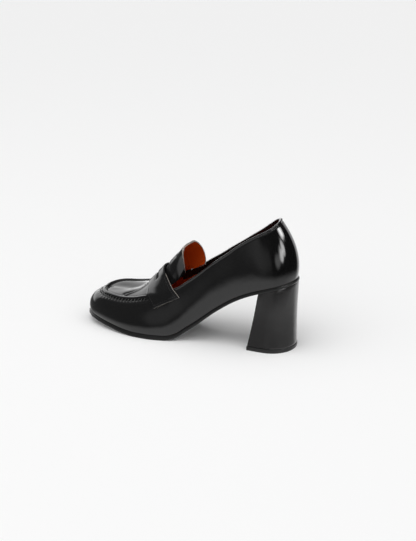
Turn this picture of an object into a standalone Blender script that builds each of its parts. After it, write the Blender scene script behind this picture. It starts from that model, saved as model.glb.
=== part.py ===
"""Loafer pump for the left foot: a moccasin-toe upper with a slotted saddle strap on a block heel.

The shoe stands on the floor, toe toward -X, heel toward +X, outer side toward -Y, +Z up.
All lengths are metres. Tables hold shares of the named sizes, a row for each section.
"""
import math

import bpy
import numpy as np

# Sizes of the whole shoe
SHOE_LENGTH = 0.232
BALL_WIDTH = 0.0772
TOE_SPRING = 0.0080
SOLE_THICKNESS = 0.0045
SOLE_LIP = 0.0012
SOLE_BEVEL = 0.0008
INSOLE_THICKNESS = 0.0025

# Sizes of the heel
HEEL_HEIGHT = 0.0685
HEEL_WIDTH = 0.0544
HEEL_LENGTH = 0.0420
HEEL_WAIST = 0.0013
HEEL_SETBACK = 0.0010
SEAT_MARGIN = 0.0004
BREAST_SLOPE = 0.0115
TOP_PIECE_THICKNESS = 0.0040
TOP_PIECE_INSET = 0.0002

# Sizes of the upper
WALL = 0.0020
VAMP_RISE = 0.0245
COLLAR_RISE = 0.0613
INSTEP_RISE = 0.0900
SEAM_RISE = 0.0017
SEAM_WIDTH = 0.0050

# Sizes of the strap and the tongue
STRAP_THICKNESS = 0.0018
STRAP_WIDTH = 0.0262
STRAP_END_WIDTH = 0.0285
STRAP_LEAN = 0.0015
STRAP_DROP = 0.0300
STRAP_REACH = 0.0600
STRAP_END_SLOPE = 0.33
SLOT_LENGTH = 0.0260
SLOT_WIDTH = 0.0024
TONGUE_THICKNESS = 0.0018
TONGUE_WIDTH = 0.0400
TONGUE_DEPTH = 0.0290

# Distance kept between pieces that meet
GAP = 0.0003
STRAP_CLEARANCE = 1.3 * GAP

# Numbers of faces
SOLE_STEPS = 42
INSOLE_STEPS = 30
HEEL_STEPS = 14
HEEL_ROWS = 6
VAMP_STEPS = 21
QUARTER_STEPS = 19
WALL_ROWS = 8
PLUG_HALF_STEPS = 9
TONGUE_ROWS = 10
STRAP_SLOT_ROW = 0.25
STRAP_ROWS = (-1.0, -0.65, -STRAP_SLOT_ROW, STRAP_SLOT_ROW, 0.65, 1.0)
STRAP_SLOT_STEPS = 4
STRAP_SIDE_STEPS = 9
STRAP_PLANES = 15
STRAP_SAMPLES = 81
CURVE_SAMPLES = 401
END_SAMPLES = 141

HALF_BALL = BALL_WIDTH / 2
TOE_X = -SHOE_LENGTH / 2

# Sole from toe to heel: edges as shares of half the ball width, spring and arch as shares of the
# toe spring and the heel height, thickness as a share of the sole's thickness
SOLE_COLUMNS = ("along", "outer", "inner", "spring", "arch", "thick")
SOLE_TABLE = (
    (0.000, 0.07, 0.07, 1.00, 0.000, 0.66),
    (0.022, -0.24, 0.37, 0.94, 0.000, 0.68),
    (0.056, -0.45, 0.56, 0.85, 0.000, 0.72),
    (0.108, -0.635, 0.74, 0.68, 0.000, 0.78),
    (0.168, -0.785, 0.865, 0.45, 0.000, 0.86),
    (0.241, -0.915, 0.955, 0.16, 0.000, 0.95),
    (0.306, -0.98, 0.985, 0.00, 0.000, 1.00),
    (0.366, -1.00, 0.96, 0.00, 0.000, 1.00),
    (0.440, -0.935, 0.865, 0.00, 0.000, 1.00),
    (0.466, -0.895, 0.81, 0.00, 0.013, 1.00),
    (0.500, -0.825, 0.73, 0.00, 0.058, 1.00),
    (0.534, -0.765, 0.66, 0.00, 0.143, 1.00),
    (0.578, -0.71, 0.60, 0.00, 0.252, 0.98),
    (0.664, -0.655, 0.56, 0.00, 0.488, 0.92),
    (0.750, -0.655, 0.59, 0.00, 0.686, 0.84),
    (0.823, -0.69, 0.655, 0.00, 0.812, 0.76),
    (0.880, -0.71, 0.69, 0.00, 0.885, 0.72),
    (0.930, -0.665, 0.66, 0.00, 0.938, 0.70),
    (0.970, -0.505, 0.505, 0.00, 0.974, 0.68),
    (0.992, -0.28, 0.28, 0.00, 0.994, 0.67),
    (1.000, 0.00, 0.00, 0.00, 1.000, 0.67),
)

# Top edge of the upper's wall, from the seam at the toe along one side to the back of the collar:
# foot is where that part of the wall starts on the sole, along and side place the top edge, and
# rise is its height over the sole as a share of the vamp's or the collar's rise
EDGE_COLUMNS = ("foot", "along", "side", "rise", "collar")
OUTER_EDGE = (
    (0.000, 0.080, 0.08, 1.00, 0.0),
    (0.022, 0.088, -0.09, 1.01, 0.0),
    (0.069, 0.112, -0.27, 1.03, 0.0),
    (0.129, 0.155, -0.43, 1.08, 0.0),
    (0.185, 0.198, -0.53, 1.13, 0.0),
    (0.254, 0.259, -0.61, 1.25, 0.0),
    (0.319, 0.315, -0.65, 1.40, 0.0),
    (0.375, 0.366, -0.67, 1.54, 0.0),
    (0.440, 0.427, -0.685, 1.73, 0.0),
    (0.496, 0.483, -0.695, 0.780, 1.0),
    (0.560, 0.556, -0.685, 0.785, 1.0),
    (0.638, 0.634, -0.665, 0.796, 1.0),
    (0.716, 0.709, -0.65, 0.806, 1.0),
    (0.793, 0.780, -0.63, 0.860, 1.0),
    (0.862, 0.843, -0.58, 0.905, 1.0),
    (0.931, 0.886, -0.42, 0.932, 1.0),
    (0.976, 0.909, -0.22, 0.970, 1.0),
    (1.000, 0.916, 0.00, 1.00, 1.0),
)
INNER_EDGE = (
    (0.000, 0.080, 0.08, 1.00, 0.0),
    (0.022, 0.083, 0.25, 1.06, 0.0),
    (0.069, 0.100, 0.41, 1.14, 0.0),
    (0.129, 0.138, 0.535, 1.24, 0.0),
    (0.185, 0.190, 0.615, 1.31, 0.0),
    (0.254, 0.254, 0.665, 1.44, 0.0),
    (0.319, 0.310, 0.70, 1.59, 0.0),
    (0.375, 0.366, 0.715, 1.75, 0.0),
    (0.440, 0.427, 0.72, 2.03, 0.0),
    (0.496, 0.483, 0.71, 0.900, 1.0),
    (0.560, 0.556, 0.685, 0.895, 1.0),
    (0.638, 0.634, 0.66, 0.858, 1.0),
    (0.716, 0.709, 0.64, 0.845, 1.0),
    (0.793, 0.780, 0.62, 0.874, 1.0),
    (0.862, 0.843, 0.57, 0.948, 1.0),
    (0.931, 0.886, 0.42, 1.006, 1.0),
    (0.976, 0.909, 0.22, 1.014, 1.0),
    (1.000, 0.916, 0.00, 1.00, 1.0),
)
THROAT_ROW = 8

# Bulge of the wall: handles of each section's curve as shares of the wall's height there
BULGE_COLUMNS = ("foot", "low_out", "low_up", "top_out", "top_down")
BULGE_TABLE = (
    (0.000, 0.11, 0.48, 0.52, 0.02),
    (0.060, 0.13, 0.46, 0.44, 0.05),
    (0.150, 0.13, 0.44, 0.34, 0.08),
    (0.300, 0.13, 0.42, 0.27, 0.10),
    (0.440, 0.12, 0.36, 0.16, 0.20),
    (0.560, 0.12, 0.32, 0.08, 0.30),
    (0.750, 0.10, 0.32, 0.06, 0.30),
    (0.900, 0.07, 0.36, 0.13, 0.30),
    (1.000, 0.06, 0.38, 0.24, 0.28),
)

# Crown of the vamp and the tongue, from the toe seam to the tongue's end: height over the floor
# as a share of the instep's rise, and how round the section is at its top
CROWN_COLUMNS = ("along", "height", "round")
CROWN_TABLE = (
    (0.080, 0.378, 1.00),
    (0.130, 0.400, 1.00),
    (0.190, 0.410, 1.00),
    (0.245, 0.430, 0.95),
    (0.290, 0.490, 0.85),
    (0.328, 0.580, 0.75),
    (0.362, 0.675, 0.70),
    (0.393, 0.765, 0.80),
    (0.430, 0.872, 1.00),
    (0.466, 0.968, 1.15),
    (0.515, 1.078, 1.25),
)
TOE_SEAM_ALONG = 0.080
THROAT_ALONG = 0.357
STRAP_ALONG = 0.3565
TONGUE_END_ALONG = 0.5155
TONGUE_START = 0.86
INSTEP_ANGLE = math.radians(46)
INSTEP_STEP = np.array([math.cos(INSTEP_ANGLE), 0, math.sin(INSTEP_ANGLE)])

# Edge of the sole, from its foot up: height as a share of the thickness, inset as shares of the
# bevel and the lip
SOLE_PROFILE = (
    (0.00, 1.0, 0.0),
    (0.22, 0.0, 0.0),
    (0.74, 0.0, 0.0),
    (0.80, 0.0, 0.5),
    (1.00, 0.0, 0.5),
)

# Rolled seam across its width, in seam widths from the wall's edge, minus toward the sole, and its
# height there
SEAM_PROFILE = (
    (-1.05, 0.00),
    (-0.80, 0.92),
    (-0.35, 1.00),
    (0.00, 0.92),
    (0.30, 0.45),
    (0.62, 0.00),
)

# Free end of the tongue on the outer and the inner side: place behind the crown, out from it and
# below it as shares of the tongue's width and depth, lean outwards, and how far the section runs
# straight up before it turns over, and how broadly it turns
TONGUE_END = (
    (-1, -0.04, 0.335, 1.05, -0.37, 2.24, 2.28),
    (1, 0.13, 0.53, 0.98, 1.04, 0.97, 1.17),
)

# Form of the heel: end of its straight sides and waist of its back as shares, width at its breast,
# and how full its round back is
HEEL_STRAIGHT = 0.42
HEEL_BACK_WAIST = 0.6
BREAST_WIDTH = 0.97
BREAST_STEPS = 4
HEEL_FULLNESS = 0.92
SEAT_BLEND = 3

# Spacing of the wall's rows, of the plug's sections and of the tongue's sides, and how far a section
# of the plug runs on before it turns over
ROW_EASE = 0.92
PLUG_EASE = 1.12
TONGUE_RISE_EASE = 1.45
ARCH_START = 1.15

# Columns before the throat where the seam starts to fade, columns that it takes, and the least and
# most of a wall section that it takes
SEAM_FADE_START = 3
SEAM_FADE_STEPS = 4
SEAM_SHARES = (0.02, 0.4)
PLUG_SEAM_SHARE = 0.3

# Part of the strap's width that its taut lines cover, and of its reach where an end may lie
STRAP_COVER = (-0.6, 0.75)
STRAP_END_RANGE = (0.3, 1.0)
LINE_STEP = 0.001

LEAST_LENGTH = 1e-9


def column(table, names, name):
    """One column of a table as an array."""
    return np.array([row[names.index(name)] for row in table])


def smooth(places, values, at):
    """Reads a smooth curve through the rows that never runs past them."""
    places = np.asarray(places, float)
    values = np.asarray(values, float)
    step = np.diff(places)
    rise = np.diff(values) / step
    slope = np.zeros(len(places))
    for i in range(1, len(places) - 1):
        if rise[i - 1] * rise[i] > 0:
            before = 2 * step[i] + step[i - 1]
            after = step[i] + 2 * step[i - 1]
            slope[i] = (before + after) / (before / rise[i - 1] + after / rise[i])
    slope[0] = rise[0]
    slope[-1] = rise[-1]
    at = np.clip(np.asarray(at, float), places[0], places[-1])
    i = np.clip(np.searchsorted(places, at, side="right") - 1, 0, len(places) - 2)
    t = (at - places[i]) / step[i]
    low = (1 + 2 * t) * (1 - t) ** 2 * values[i] + t * (1 - t) ** 2 * step[i] * slope[i]
    high = t * t * (3 - 2 * t) * values[i + 1] + t * t * (t - 1) * step[i] * slope[i + 1]
    return low + high


def turn_of(along):
    """Angle of a half circle whose foot divides the length at a share of it."""
    return np.arccos(1 - 2 * np.clip(along, 0, 1))


def sole_read(name, along):
    """One column of the sole's table at a share of the length."""
    places = column(SOLE_TABLE, SOLE_COLUMNS, "along")
    return smooth(places, column(SOLE_TABLE, SOLE_COLUMNS, name), along)


def share_of(x):
    """Share of the shoe's length at a place."""
    return (np.asarray(x) - TOE_X) / SHOE_LENGTH


def sole_bottom(x):
    """Height of the sole's underside."""
    along = share_of(x)
    return TOE_SPRING * sole_read("spring", along) + HEEL_HEIGHT * sole_read("arch", along)


def sole_top(x):
    """Height of the sole's upper face."""
    return sole_bottom(x) + SOLE_THICKNESS * sole_read("thick", share_of(x))


def sole_edge(side, turn):
    """Plan of the sole's outer or inner edge at an angle of the half circle."""
    places = turn_of(column(SOLE_TABLE, SOLE_COLUMNS, "along"))
    across = smooth(places, column(SOLE_TABLE, SOLE_COLUMNS, side), turn)
    x = TOE_X + SHOE_LENGTH * (1 - np.cos(turn)) / 2
    return np.stack([x, HALF_BALL * across], -1)


def run_length(points):
    """Length along a polyline at each of its points."""
    steps = np.linalg.norm(np.diff(points, axis=0), axis=1)
    return np.concatenate([[0], np.cumsum(steps)])


def even_turns(side, count):
    """Angles that divide one edge of the sole into equal lengths."""
    turn = np.linspace(0, math.pi, CURVE_SAMPLES)
    lengths = run_length(sole_edge(side, turn))
    return np.interp(np.linspace(0, lengths[-1], count + 1), lengths, turn)


def plan_normals(points):
    """Outward directions of a closed plan loop that runs anticlockwise."""
    ahead = np.roll(points, -1, axis=0) - np.roll(points, 1, axis=0)
    ahead /= np.linalg.norm(ahead, axis=1)[:, None]
    return np.stack([ahead[:, 1], -ahead[:, 0]], -1)


def plan_loop(steps, inset):
    """The sole's outline as a closed loop: toe tip, outer edge, back, inner edge."""
    outer = sole_edge("outer", even_turns("outer", steps))
    inner = sole_edge("inner", even_turns("inner", steps))
    loop = np.concatenate([outer, inner[-2:0:-1]])
    return loop - inset * plan_normals(loop)


def add_object(name, points, faces, material):
    """A mesh object from points and faces, smooth but for its sharp edges."""
    mesh = bpy.data.meshes.new(name)
    mesh.from_pydata([tuple(map(float, p)) for p in points], [], faces)
    mesh.materials.append(material)
    mesh.shade_smooth()
    mesh.set_sharp_from_angle(angle=math.radians(40))
    item = bpy.data.objects.new(name, mesh)
    bpy.context.scene.collection.objects.link(item)
    return item


def add_material(name, color, roughness):
    """A plain Principled material."""
    material = bpy.data.materials.new(name)
    material.use_nodes = True
    shader = material.node_tree.nodes["Principled BSDF"]
    shader.inputs["Base Color"].default_value = (*color, 1)
    shader.inputs["Roughness"].default_value = roughness
    shader.inputs["Metallic"].default_value = 0
    return material


def grid_faces(rows, count, closed):
    """Faces of a grid of rows of points, each row closed or open."""
    faces = []
    for low in range(0, (rows - 1) * count, count):
        for i in range(count if closed else count - 1):
            j = (i + 1) % count
            faces.append((low + i, low + j, low + count + j, low + count + i))
    return faces


def stacked_loops(name, loops, material, shift):
    """A solid from closed loops, low to high; strips close its ends, from a point to its mirror."""
    count = len(loops[0])
    faces = grid_faces(len(loops), count, True)
    top = (len(loops) - 1) * count
    for k in range(count // 2):
        strip = [i % count for i in (k, shift - k, shift - 1 - k, k + 1)]
        strip = [i for n, i in enumerate(strip) if i not in strip[:n]]
        faces.append(tuple(strip))
        faces.append(tuple(top + i for i in reversed(strip)))
    return add_object(name, np.concatenate(loops), faces, material)


def lifted(loop, heights):
    """A plan loop at given heights."""
    return np.column_stack([loop, heights])


def build_outsole(material):
    """Thin sole with toe spring and arch; its edge has a bevelled foot and a step under the upper."""
    loops = []
    for height, bevel, lip in SOLE_PROFILE:
        loop = plan_loop(SOLE_STEPS, bevel * SOLE_BEVEL + lip * SOLE_LIP)
        low = sole_bottom(loop[:, 0])
        loops.append(lifted(loop, low + height * (sole_top(loop[:, 0]) - low)))
    return stacked_loops("outsole", loops, material, len(loops[0]))


def build_insole(material):
    """Sock that lies on the sole inside the upper's wall."""
    inset = SOLE_LIP + WALL + 2 * GAP
    low = plan_loop(INSOLE_STEPS, inset)
    high = plan_loop(INSOLE_STEPS, inset + 0.2 * INSOLE_THICKNESS)
    loops = [lifted(low, sole_top(low[:, 0]) + GAP),
             lifted(high, sole_top(high[:, 0]) + GAP + INSOLE_THICKNESS)]
    return stacked_loops("insole", loops, material, len(low))


def heel_section(height_share):
    """Plan loop of the heel: flat breast, straight sides and a round back."""
    back_top = -TOE_X - HEEL_SETBACK
    breast_top = back_top - HEEL_LENGTH + BREAST_SLOPE
    breast = breast_top - BREAST_SLOPE * (1 - height_share)
    waist = HEEL_WAIST * math.sin(math.pi * height_share)
    back = back_top - HEEL_BACK_WAIST * waist
    turn = np.linspace(0, math.pi / 2, HEEL_STEPS - BREAST_STEPS)
    along = np.concatenate([np.linspace(0, HEEL_STRAIGHT, BREAST_STEPS + 1)[:-1],
                            HEEL_STRAIGHT + (1 - HEEL_STRAIGHT) * np.sin(turn)])
    wide = np.concatenate([np.linspace(BREAST_WIDTH, 1, BREAST_STEPS + 1)[:-1],
                           np.cos(turn) ** HEEL_FULLNESS])
    x = breast + (back - breast) * along
    seat = np.abs(sole_edge("outer", turn_of(share_of(x)))[:, 1]) - SOLE_BEVEL - SEAT_MARGIN
    plain = (HEEL_WIDTH / 2 - waist) * wide
    blend = height_share ** SEAT_BLEND
    half = (1 - blend) * plain + blend * np.minimum(seat, plain)
    half[-1] = 0
    outer = np.stack([x, -half], -1)
    inner = np.stack([x, half], -1)[::-1][1:]
    return np.concatenate([outer, inner])


def build_heel(block_material, piece_material):
    """Block heel under the seat of the sole, and the top piece that it walks on."""
    split = TOP_PIECE_THICKNESS / HEEL_HEIGHT
    loops = []
    for share in np.linspace(0, 1, HEEL_ROWS):
        plan = heel_section(split + (1 - split) * share)
        low = np.full(len(plan), TOP_PIECE_THICKNESS + GAP)
        high = sole_bottom(plan[:, 0]) - GAP
        loops.append(lifted(plan, low + (high - low) * share))
    stacked_loops("heel_block", loops, block_material, len(plan) - 1)
    plan = heel_section(0)
    middle = plan.mean(axis=0)
    foot = middle + (plan - middle) * (1 - TOP_PIECE_INSET / HEEL_WIDTH)
    loops = [lifted(foot, np.zeros(len(plan))), lifted(plan, np.full(len(plan), TOP_PIECE_THICKNESS))]
    stacked_loops("heel_top_piece", loops, piece_material, len(plan) - 1)


def edge_places(table, steps_vamp, steps_quarter):
    """Row places that divide the seam and the collar of one side into equal lengths."""
    fine = np.linspace(0, len(table) - 1, CURVE_SAMPLES)
    points = np.stack([edge_read(table, name, fine) for name in ("along", "side", "foot")], -1)
    lengths = run_length(points * (SHOE_LENGTH, HALF_BALL, SHOE_LENGTH))
    throat = np.interp(THROAT_ROW, fine, lengths)
    vamp = np.interp(np.linspace(0, throat, steps_vamp + 1), lengths, fine)
    quarter = np.interp(np.linspace(throat, lengths[-1], steps_quarter + 1), lengths, fine)
    return np.concatenate([vamp[:-1], [float(THROAT_ROW)], quarter[1:]])


def edge_read(table, name, place):
    """One column of an edge table between its rows."""
    values = column(table, EDGE_COLUMNS, name)
    if name == "foot":
        values = turn_of(values)
    if name == "rise":
        collar = column(table, EDGE_COLUMNS, "collar")
        values = values * np.where(collar > 0, COLLAR_RISE, VAMP_RISE)
    return smooth(np.arange(len(table)), values, place)


def wall_columns(side, places):
    """Foot and top edge of the wall of one side at the given row places."""
    table = OUTER_EDGE if side == "outer" else INNER_EDGE
    turn = edge_read(table, "foot", places)
    foot = sole_edge(side, turn)
    x = TOE_X + SHOE_LENGTH * edge_read(table, "along", places)
    y = HALF_BALL * edge_read(table, "side", places)
    z = sole_top(x) + edge_read(table, "rise", places)
    return turn, foot, np.column_stack([x, y, z])


def wall_sections(vamp_steps, quarter_steps):
    """Foot loop, outward directions, top edge and handles all round the upper."""
    outer = edge_places(OUTER_EDGE, vamp_steps, quarter_steps)
    inner = edge_places(INNER_EDGE, vamp_steps, quarter_steps)
    turn_a, foot_a, top_a = wall_columns("outer", outer)
    turn_b, foot_b, top_b = wall_columns("inner", inner)
    turn = np.concatenate([turn_a, turn_b[-2:0:-1]])
    foot = np.concatenate([foot_a, foot_b[-2:0:-1]])
    top = np.concatenate([top_a, top_b[-2:0:-1]])
    out = plan_normals(foot)
    foot = foot - SOLE_LIP * out
    foot = np.column_stack([foot, sole_top(foot[:, 0]) + GAP])
    return turn, foot, np.column_stack([out, np.zeros(len(out))]), top


def wall_point(sections, share):
    """A row of points round the upper at a share of the way up each section, and the way on."""
    turn, foot, out, top = sections
    along = (1 - np.cos(turn)) / 2
    places = column(BULGE_TABLE, BULGE_COLUMNS, "foot")
    read = {name: smooth(places, column(BULGE_TABLE, BULGE_COLUMNS, name), along)[:, None]
            for name in BULGE_COLUMNS[1:]}
    height = (top[:, 2] - foot[:, 2])[:, None]
    up = np.array([0, 0, 1.0])
    low = foot + height * (read["low_out"] * out + read["low_up"] * up)
    high = top + height * (read["top_out"] * out - read["top_down"] * up)
    t = share
    point = (1 - t) ** 3 * foot + 3 * t * (1 - t) ** 2 * low
    point = point + 3 * t * t * (1 - t) * high + t ** 3 * top
    return point, top - high


def crown_read(name, along):
    """One column of the crown's table."""
    places = column(CROWN_TABLE, CROWN_COLUMNS, "along")
    return smooth(places, column(CROWN_TABLE, CROWN_COLUMNS, name), along)


def crown_point(along, middle=0.0):
    """A point on the crown line."""
    height = INSTEP_RISE * float(crown_read("height", along))
    return np.array([TOE_X + SHOE_LENGTH * along, middle, height])


def arch(left, right, crown, shares):
    """A cross section over the crown; each side gives its edge, its way, its rise and its turn."""
    points = np.zeros((len(shares), 3))
    for side, chosen in ((left, shares <= 0), (right, shares > 0)):
        edge, way, rise, turn = side
        t = (1 - np.abs(shares[chosen]))[:, None]
        span = np.linalg.norm(crown - edge)
        start = way / max(np.linalg.norm(way), LEAST_LENGTH) * span * rise
        level = np.array([0, crown[1] - edge[1], 0])
        level = level / max(np.linalg.norm(level), LEAST_LENGTH) * span * turn
        half = (1 + 2 * t) * (1 - t) ** 2 * edge + t * (1 - t) ** 2 * start
        points[chosen] = half + t * t * (3 - 2 * t) * crown + t * t * (t - 1) * level
    return points


def vertex_normals(points, faces):
    """Smooth outward directions of a mesh of three- and four-sided faces."""
    total = np.zeros_like(points)
    quads = np.array([f if len(f) == 4 else f + (f[-1],) for f in faces])
    ahead = points[quads[:, 2]] - points[quads[:, 0]]
    normal = np.cross(ahead, points[quads[:, 3]] - points[quads[:, 1]])
    for k in range(4):
        np.add.at(total, quads[:, k], normal)
    return total / np.linalg.norm(total, axis=1)[:, None]


def line_distance(points, line):
    """Distance of each point from a polyline."""
    best = np.full(len(points), np.inf)
    for a, b in zip(line[:-1], line[1:]):
        way = b - a
        t = np.clip((points - a) @ way / (way @ way), 0, 1)[:, None]
        best = np.minimum(best, np.linalg.norm(points - a - t * way, axis=1))
    return best


def square_to(normals, way):
    """The same directions, turned square to a way."""
    turned = normals - (normals @ way)[:, None] * way
    return turned / np.linalg.norm(turned, axis=1)[:, None]


def shell(name, outer, inner, faces, material):
    """A solid between an outer and an inner copy of the same faces, closed along every open edge."""
    count = len(outer)
    ways = {way: None for face in faces for way in zip(face, face[1:] + face[:1])}
    rims = [(j, i, count + i, count + j) for i, j in ways if (j, i) not in ways]
    inside = [tuple(count + i for i in reversed(face)) for face in faces]
    return add_object(name, np.concatenate([outer, inner]), list(faces) + inside + rims, material)


def seam_fade(count):
    """How much of the seam's height is left in each column: all at the toe, none at the throat."""
    step = np.minimum(np.arange(count), count - np.arange(count))
    return np.clip((VAMP_STEPS - SEAM_FADE_START - step) / SEAM_FADE_STEPS, 0, 1)


def wall_rows(sections):
    """Rows of points up the wall, and the height of the rolled seam at each."""
    foot, top = sections[1], sections[3]
    seam = np.clip(SEAM_WIDTH / np.linalg.norm(top - foot, axis=1), *SEAM_SHARES)
    profile = [(across, height) for across, height in SEAM_PROFILE if across <= 0]
    below = 1 + profile[0][0] * seam
    shares = [below * part for part in np.linspace(0, 1, WALL_ROWS) ** ROW_EASE]
    heights = [0] * WALL_ROWS
    for across, height in profile[1:]:
        shares.append(1 + across * seam)
        heights.append(height)
    rows = [wall_point(sections, share[:, None])[0] for share in shares]
    fade = seam_fade(len(foot))
    return np.concatenate(rows), np.concatenate([height * fade for height in heights]), len(rows)


def plug_sections(sections):
    """Both sides and the crown of each cross section of the plug, from the toe seam to the throat."""
    top = sections[3]
    way = wall_point(sections, 1.0)[1]
    plug = []
    for i in range(1, VAMP_STEPS + 1):
        share = i / VAMP_STEPS
        along = TOE_SEAM_ALONG + (THROAT_ALONG - TOE_SEAM_ALONG) * share ** PLUG_EASE
        turn = float(crown_read("round", along))
        left = (top[i], way[i], ARCH_START, turn)
        right = (top[-i], way[-i], ARCH_START, turn)
        middle = (top[i][1] + top[-i][1]) / 2 * (1 - share)
        plug.append((left, right, crown_point(along, middle)))
    return plug


def upper_surface(sections):
    """Points of the upper without thickness, the height of the seam at each, faces, and the throat."""
    points, lift, rows = wall_rows(sections)
    top = sections[3]
    count = len(top)
    faces = grid_faces(rows, count, True)
    last = (rows - 1) * count
    seam_line = np.concatenate([top[VAMP_STEPS:0:-1], top[:1], top[:-VAMP_STEPS - 1:-1]])
    inside = [(across * SEAM_WIDTH, height) for across, height in SEAM_PROFILE if across >= 0]
    fade = seam_fade(count)
    previous = None
    for i, (left, right, crown) in enumerate(plug_sections(sections), start=1):
        span = np.linalg.norm(crown - left[0]) + np.linalg.norm(crown - right[0])
        edges = [1 - 2 * min(across / span, PLUG_SEAM_SHARE) for across, _ in inside[1:]]
        middle = np.linspace(-1, 1, 2 * PLUG_HALF_STEPS - 1)[1:-1] * edges[-1]
        shares = np.concatenate([-np.array(edges), middle, edges[::-1]])
        row = arch(left, right, crown, shares)
        gap = line_distance(row, seam_line)
        height = np.interp(gap, *zip(*inside))
        start = len(points)
        points = np.concatenate([points, row])
        lift = np.concatenate([lift, fade[i] * height])
        indices = [last + i] + list(range(start, start + len(row))) + [last + count - i]
        if previous is None:
            faces += [(last, a, b) for a, b in zip(indices[:-1], indices[1:])]
        else:
            faces += [(previous[k], indices[k], indices[k + 1], previous[k + 1])
                      for k in range(len(indices) - 1)]
        previous = indices
    return points, lift, faces, previous[1:-1]


def build_upper(sections, material):
    """One hollow wall: sides, rolled seam and plug, open at the collar, throat and underneath."""
    base, lift, faces, throat = upper_surface(sections)
    normals = vertex_normals(base, faces)
    normals[throat] = square_to(normals[throat], INSTEP_STEP)
    outer = base + SEAM_RISE * lift[:, None] * normals
    inner = base - WALL * normals
    foot = inner[:len(sections[1])]
    foot[:, 2] = sole_top(foot[:, 0]) + GAP
    shell("upper", outer, inner, faces, material)
    return base, faces


def tongue_rows(sections, across):
    """Cross sections of the tongue, from its seam under the strap to its free end."""
    plug = plug_sections(sections)[-1]
    rows = [arch(*plug, np.linspace(-TONGUE_START, TONGUE_START, across)) + GAP * INSTEP_STEP]
    end_crown = crown_point(TONGUE_END_ALONG)
    starts = ((rows[0][0], rows[0][1]), (rows[0][-1], rows[0][-2]))
    for share in np.linspace(0, 1, TONGUE_ROWS)[1:]:
        along = THROAT_ALONG + (TONGUE_END_ALONG - THROAT_ALONG) * share
        turn = float(crown_read("round", along))
        ease = share * share * (3 - 2 * share)
        sides = []
        for (begin, beyond), (sign, behind, out, drop, lean, rise, end_turn) in zip(starts, TONGUE_END):
            offset = (behind * TONGUE_WIDTH, sign * out * TONGUE_WIDTH, -drop * TONGUE_DEPTH)
            end = end_crown + offset
            point = begin + (end - begin) * (share, ease, share ** TONGUE_RISE_EASE)
            way = (beyond - begin) / np.linalg.norm(beyond - begin)
            way = way * (1 - share) + np.array([0, lean, 1.0]) * share
            sides.append((point, way, ARCH_START + (rise - ARCH_START) * share,
                          turn + (end_turn - turn) * share))
        crown = crown_point(along) + GAP * INSTEP_STEP
        rows.append(arch(*sides, crown, np.linspace(-1, 1, across)))
    return rows


def build_tongue(sections, material):
    """Tongue that rises from under the strap as an open arch."""
    across = 2 * PLUG_HALF_STEPS + 1
    points = np.concatenate(tongue_rows(sections, across))
    faces = [tuple(reversed(face)) for face in grid_faces(TONGUE_ROWS, across, False)]
    normals = vertex_normals(points, faces)
    normals[:across] = square_to(normals[:across], INSTEP_STEP)
    shell("tongue", points, points - TONGUE_THICKNESS * normals, faces, material)
    return points, faces


def cut(points, faces, origin, way):
    """Places where the plane through the origin, square to a way, crosses the faces' edges."""
    height = (points - origin) @ way
    quads = np.array([f if len(f) == 4 else f + (f[-1],) for f in faces])
    pairs = np.concatenate([quads[:, [0, 1]], quads[:, [1, 2]], quads[:, [3, 2]], quads[:, [0, 3]]])
    pairs = pairs[height[pairs[:, 0]] * height[pairs[:, 1]] < 0]
    a, b = height[pairs[:, 0]], height[pairs[:, 1]]
    t = (a / (a - b))[:, None]
    return points[pairs[:, 0]] + t * (points[pairs[:, 1]] - points[pairs[:, 0]])


def taut(pairs):
    """The hull of points in a plane, from the bottom over the left side and the top to the right."""
    pairs = sorted(map(tuple, pairs))
    hull = []
    for run in (pairs, pairs[::-1]):
        chain = []
        for p in run:
            while len(chain) > 1:
                a, b = chain[-2], chain[-1]
                if (b[0] - a[0]) * (p[1] - a[1]) - (b[1] - a[1]) * (p[0] - a[0]) < 0:
                    break
                chain.pop()
            chain.append(p)
        hull += chain[:-1]
    hull = np.array(hull)
    turn = np.arctan2(hull[:, 0], hull[:, 1] + STRAP_DROP)
    return hull[np.argsort(turn)]


class StrapForm:
    """Taut lines over the upper and the tongue, in planes across the instep, read from the crown."""

    def __init__(self, bodies):
        self.side = np.array([0, 1.0, 0])
        self.up = np.array([-INSTEP_STEP[2], 0, INSTEP_STEP[0]])
        self.crown = crown_point(STRAP_ALONG)
        self.places = np.linspace(*STRAP_COVER, STRAP_PLANES) * STRAP_WIDTH
        self.lengths = np.linspace(-1, 1, STRAP_SAMPLES) * STRAP_REACH
        self.lines = []
        for place in self.places:
            origin = self.crown + place * INSTEP_STEP
            found = [cut(points, faces, origin, INSTEP_STEP) for points, faces in bodies]
            found = np.concatenate(found) - origin
            line = taut(np.stack([found @ self.side, found @ self.up], -1))
            run = run_length(line)
            run -= np.interp(0, line[:, 0], run)
            self.lines.append([np.interp(self.lengths, run, line[:, k]) for k in (0, 1)])

    def flat(self, place, length):
        """The taut line at a place along the instep and a length from the crown."""
        step = self.places[1] - self.places[0]
        at = np.clip((place - self.places[0]) / step, 0, len(self.places) - 1)
        low = min(int(at), len(self.places) - 2)
        near, far = self.lines[low], self.lines[low + 1]
        part = at - low
        return np.array([np.interp(length, self.lengths, (1 - part) * near[k] + part * far[k])
                         for k in (0, 1)])

    def end(self, place, sign):
        """Length at which the strap ends."""
        tries = np.linspace(*STRAP_END_RANGE, END_SAMPLES) * STRAP_REACH
        depths = [-self.flat(place, sign * t)[1] for t in tries]
        return float(np.interp(STRAP_DROP + STRAP_END_SLOPE * place, depths, tries))

    def point(self, place, length):
        """A point of the taut form and its outward direction."""
        here = self.flat(place, length)
        ahead = self.flat(place, length + LINE_STEP) - self.flat(place, length - LINE_STEP)
        ahead /= np.linalg.norm(ahead)
        normal = -ahead[1] * self.side + ahead[0] * self.up
        return self.crown + place * INSTEP_STEP + here[0] * self.side + here[1] * self.up, normal


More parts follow.
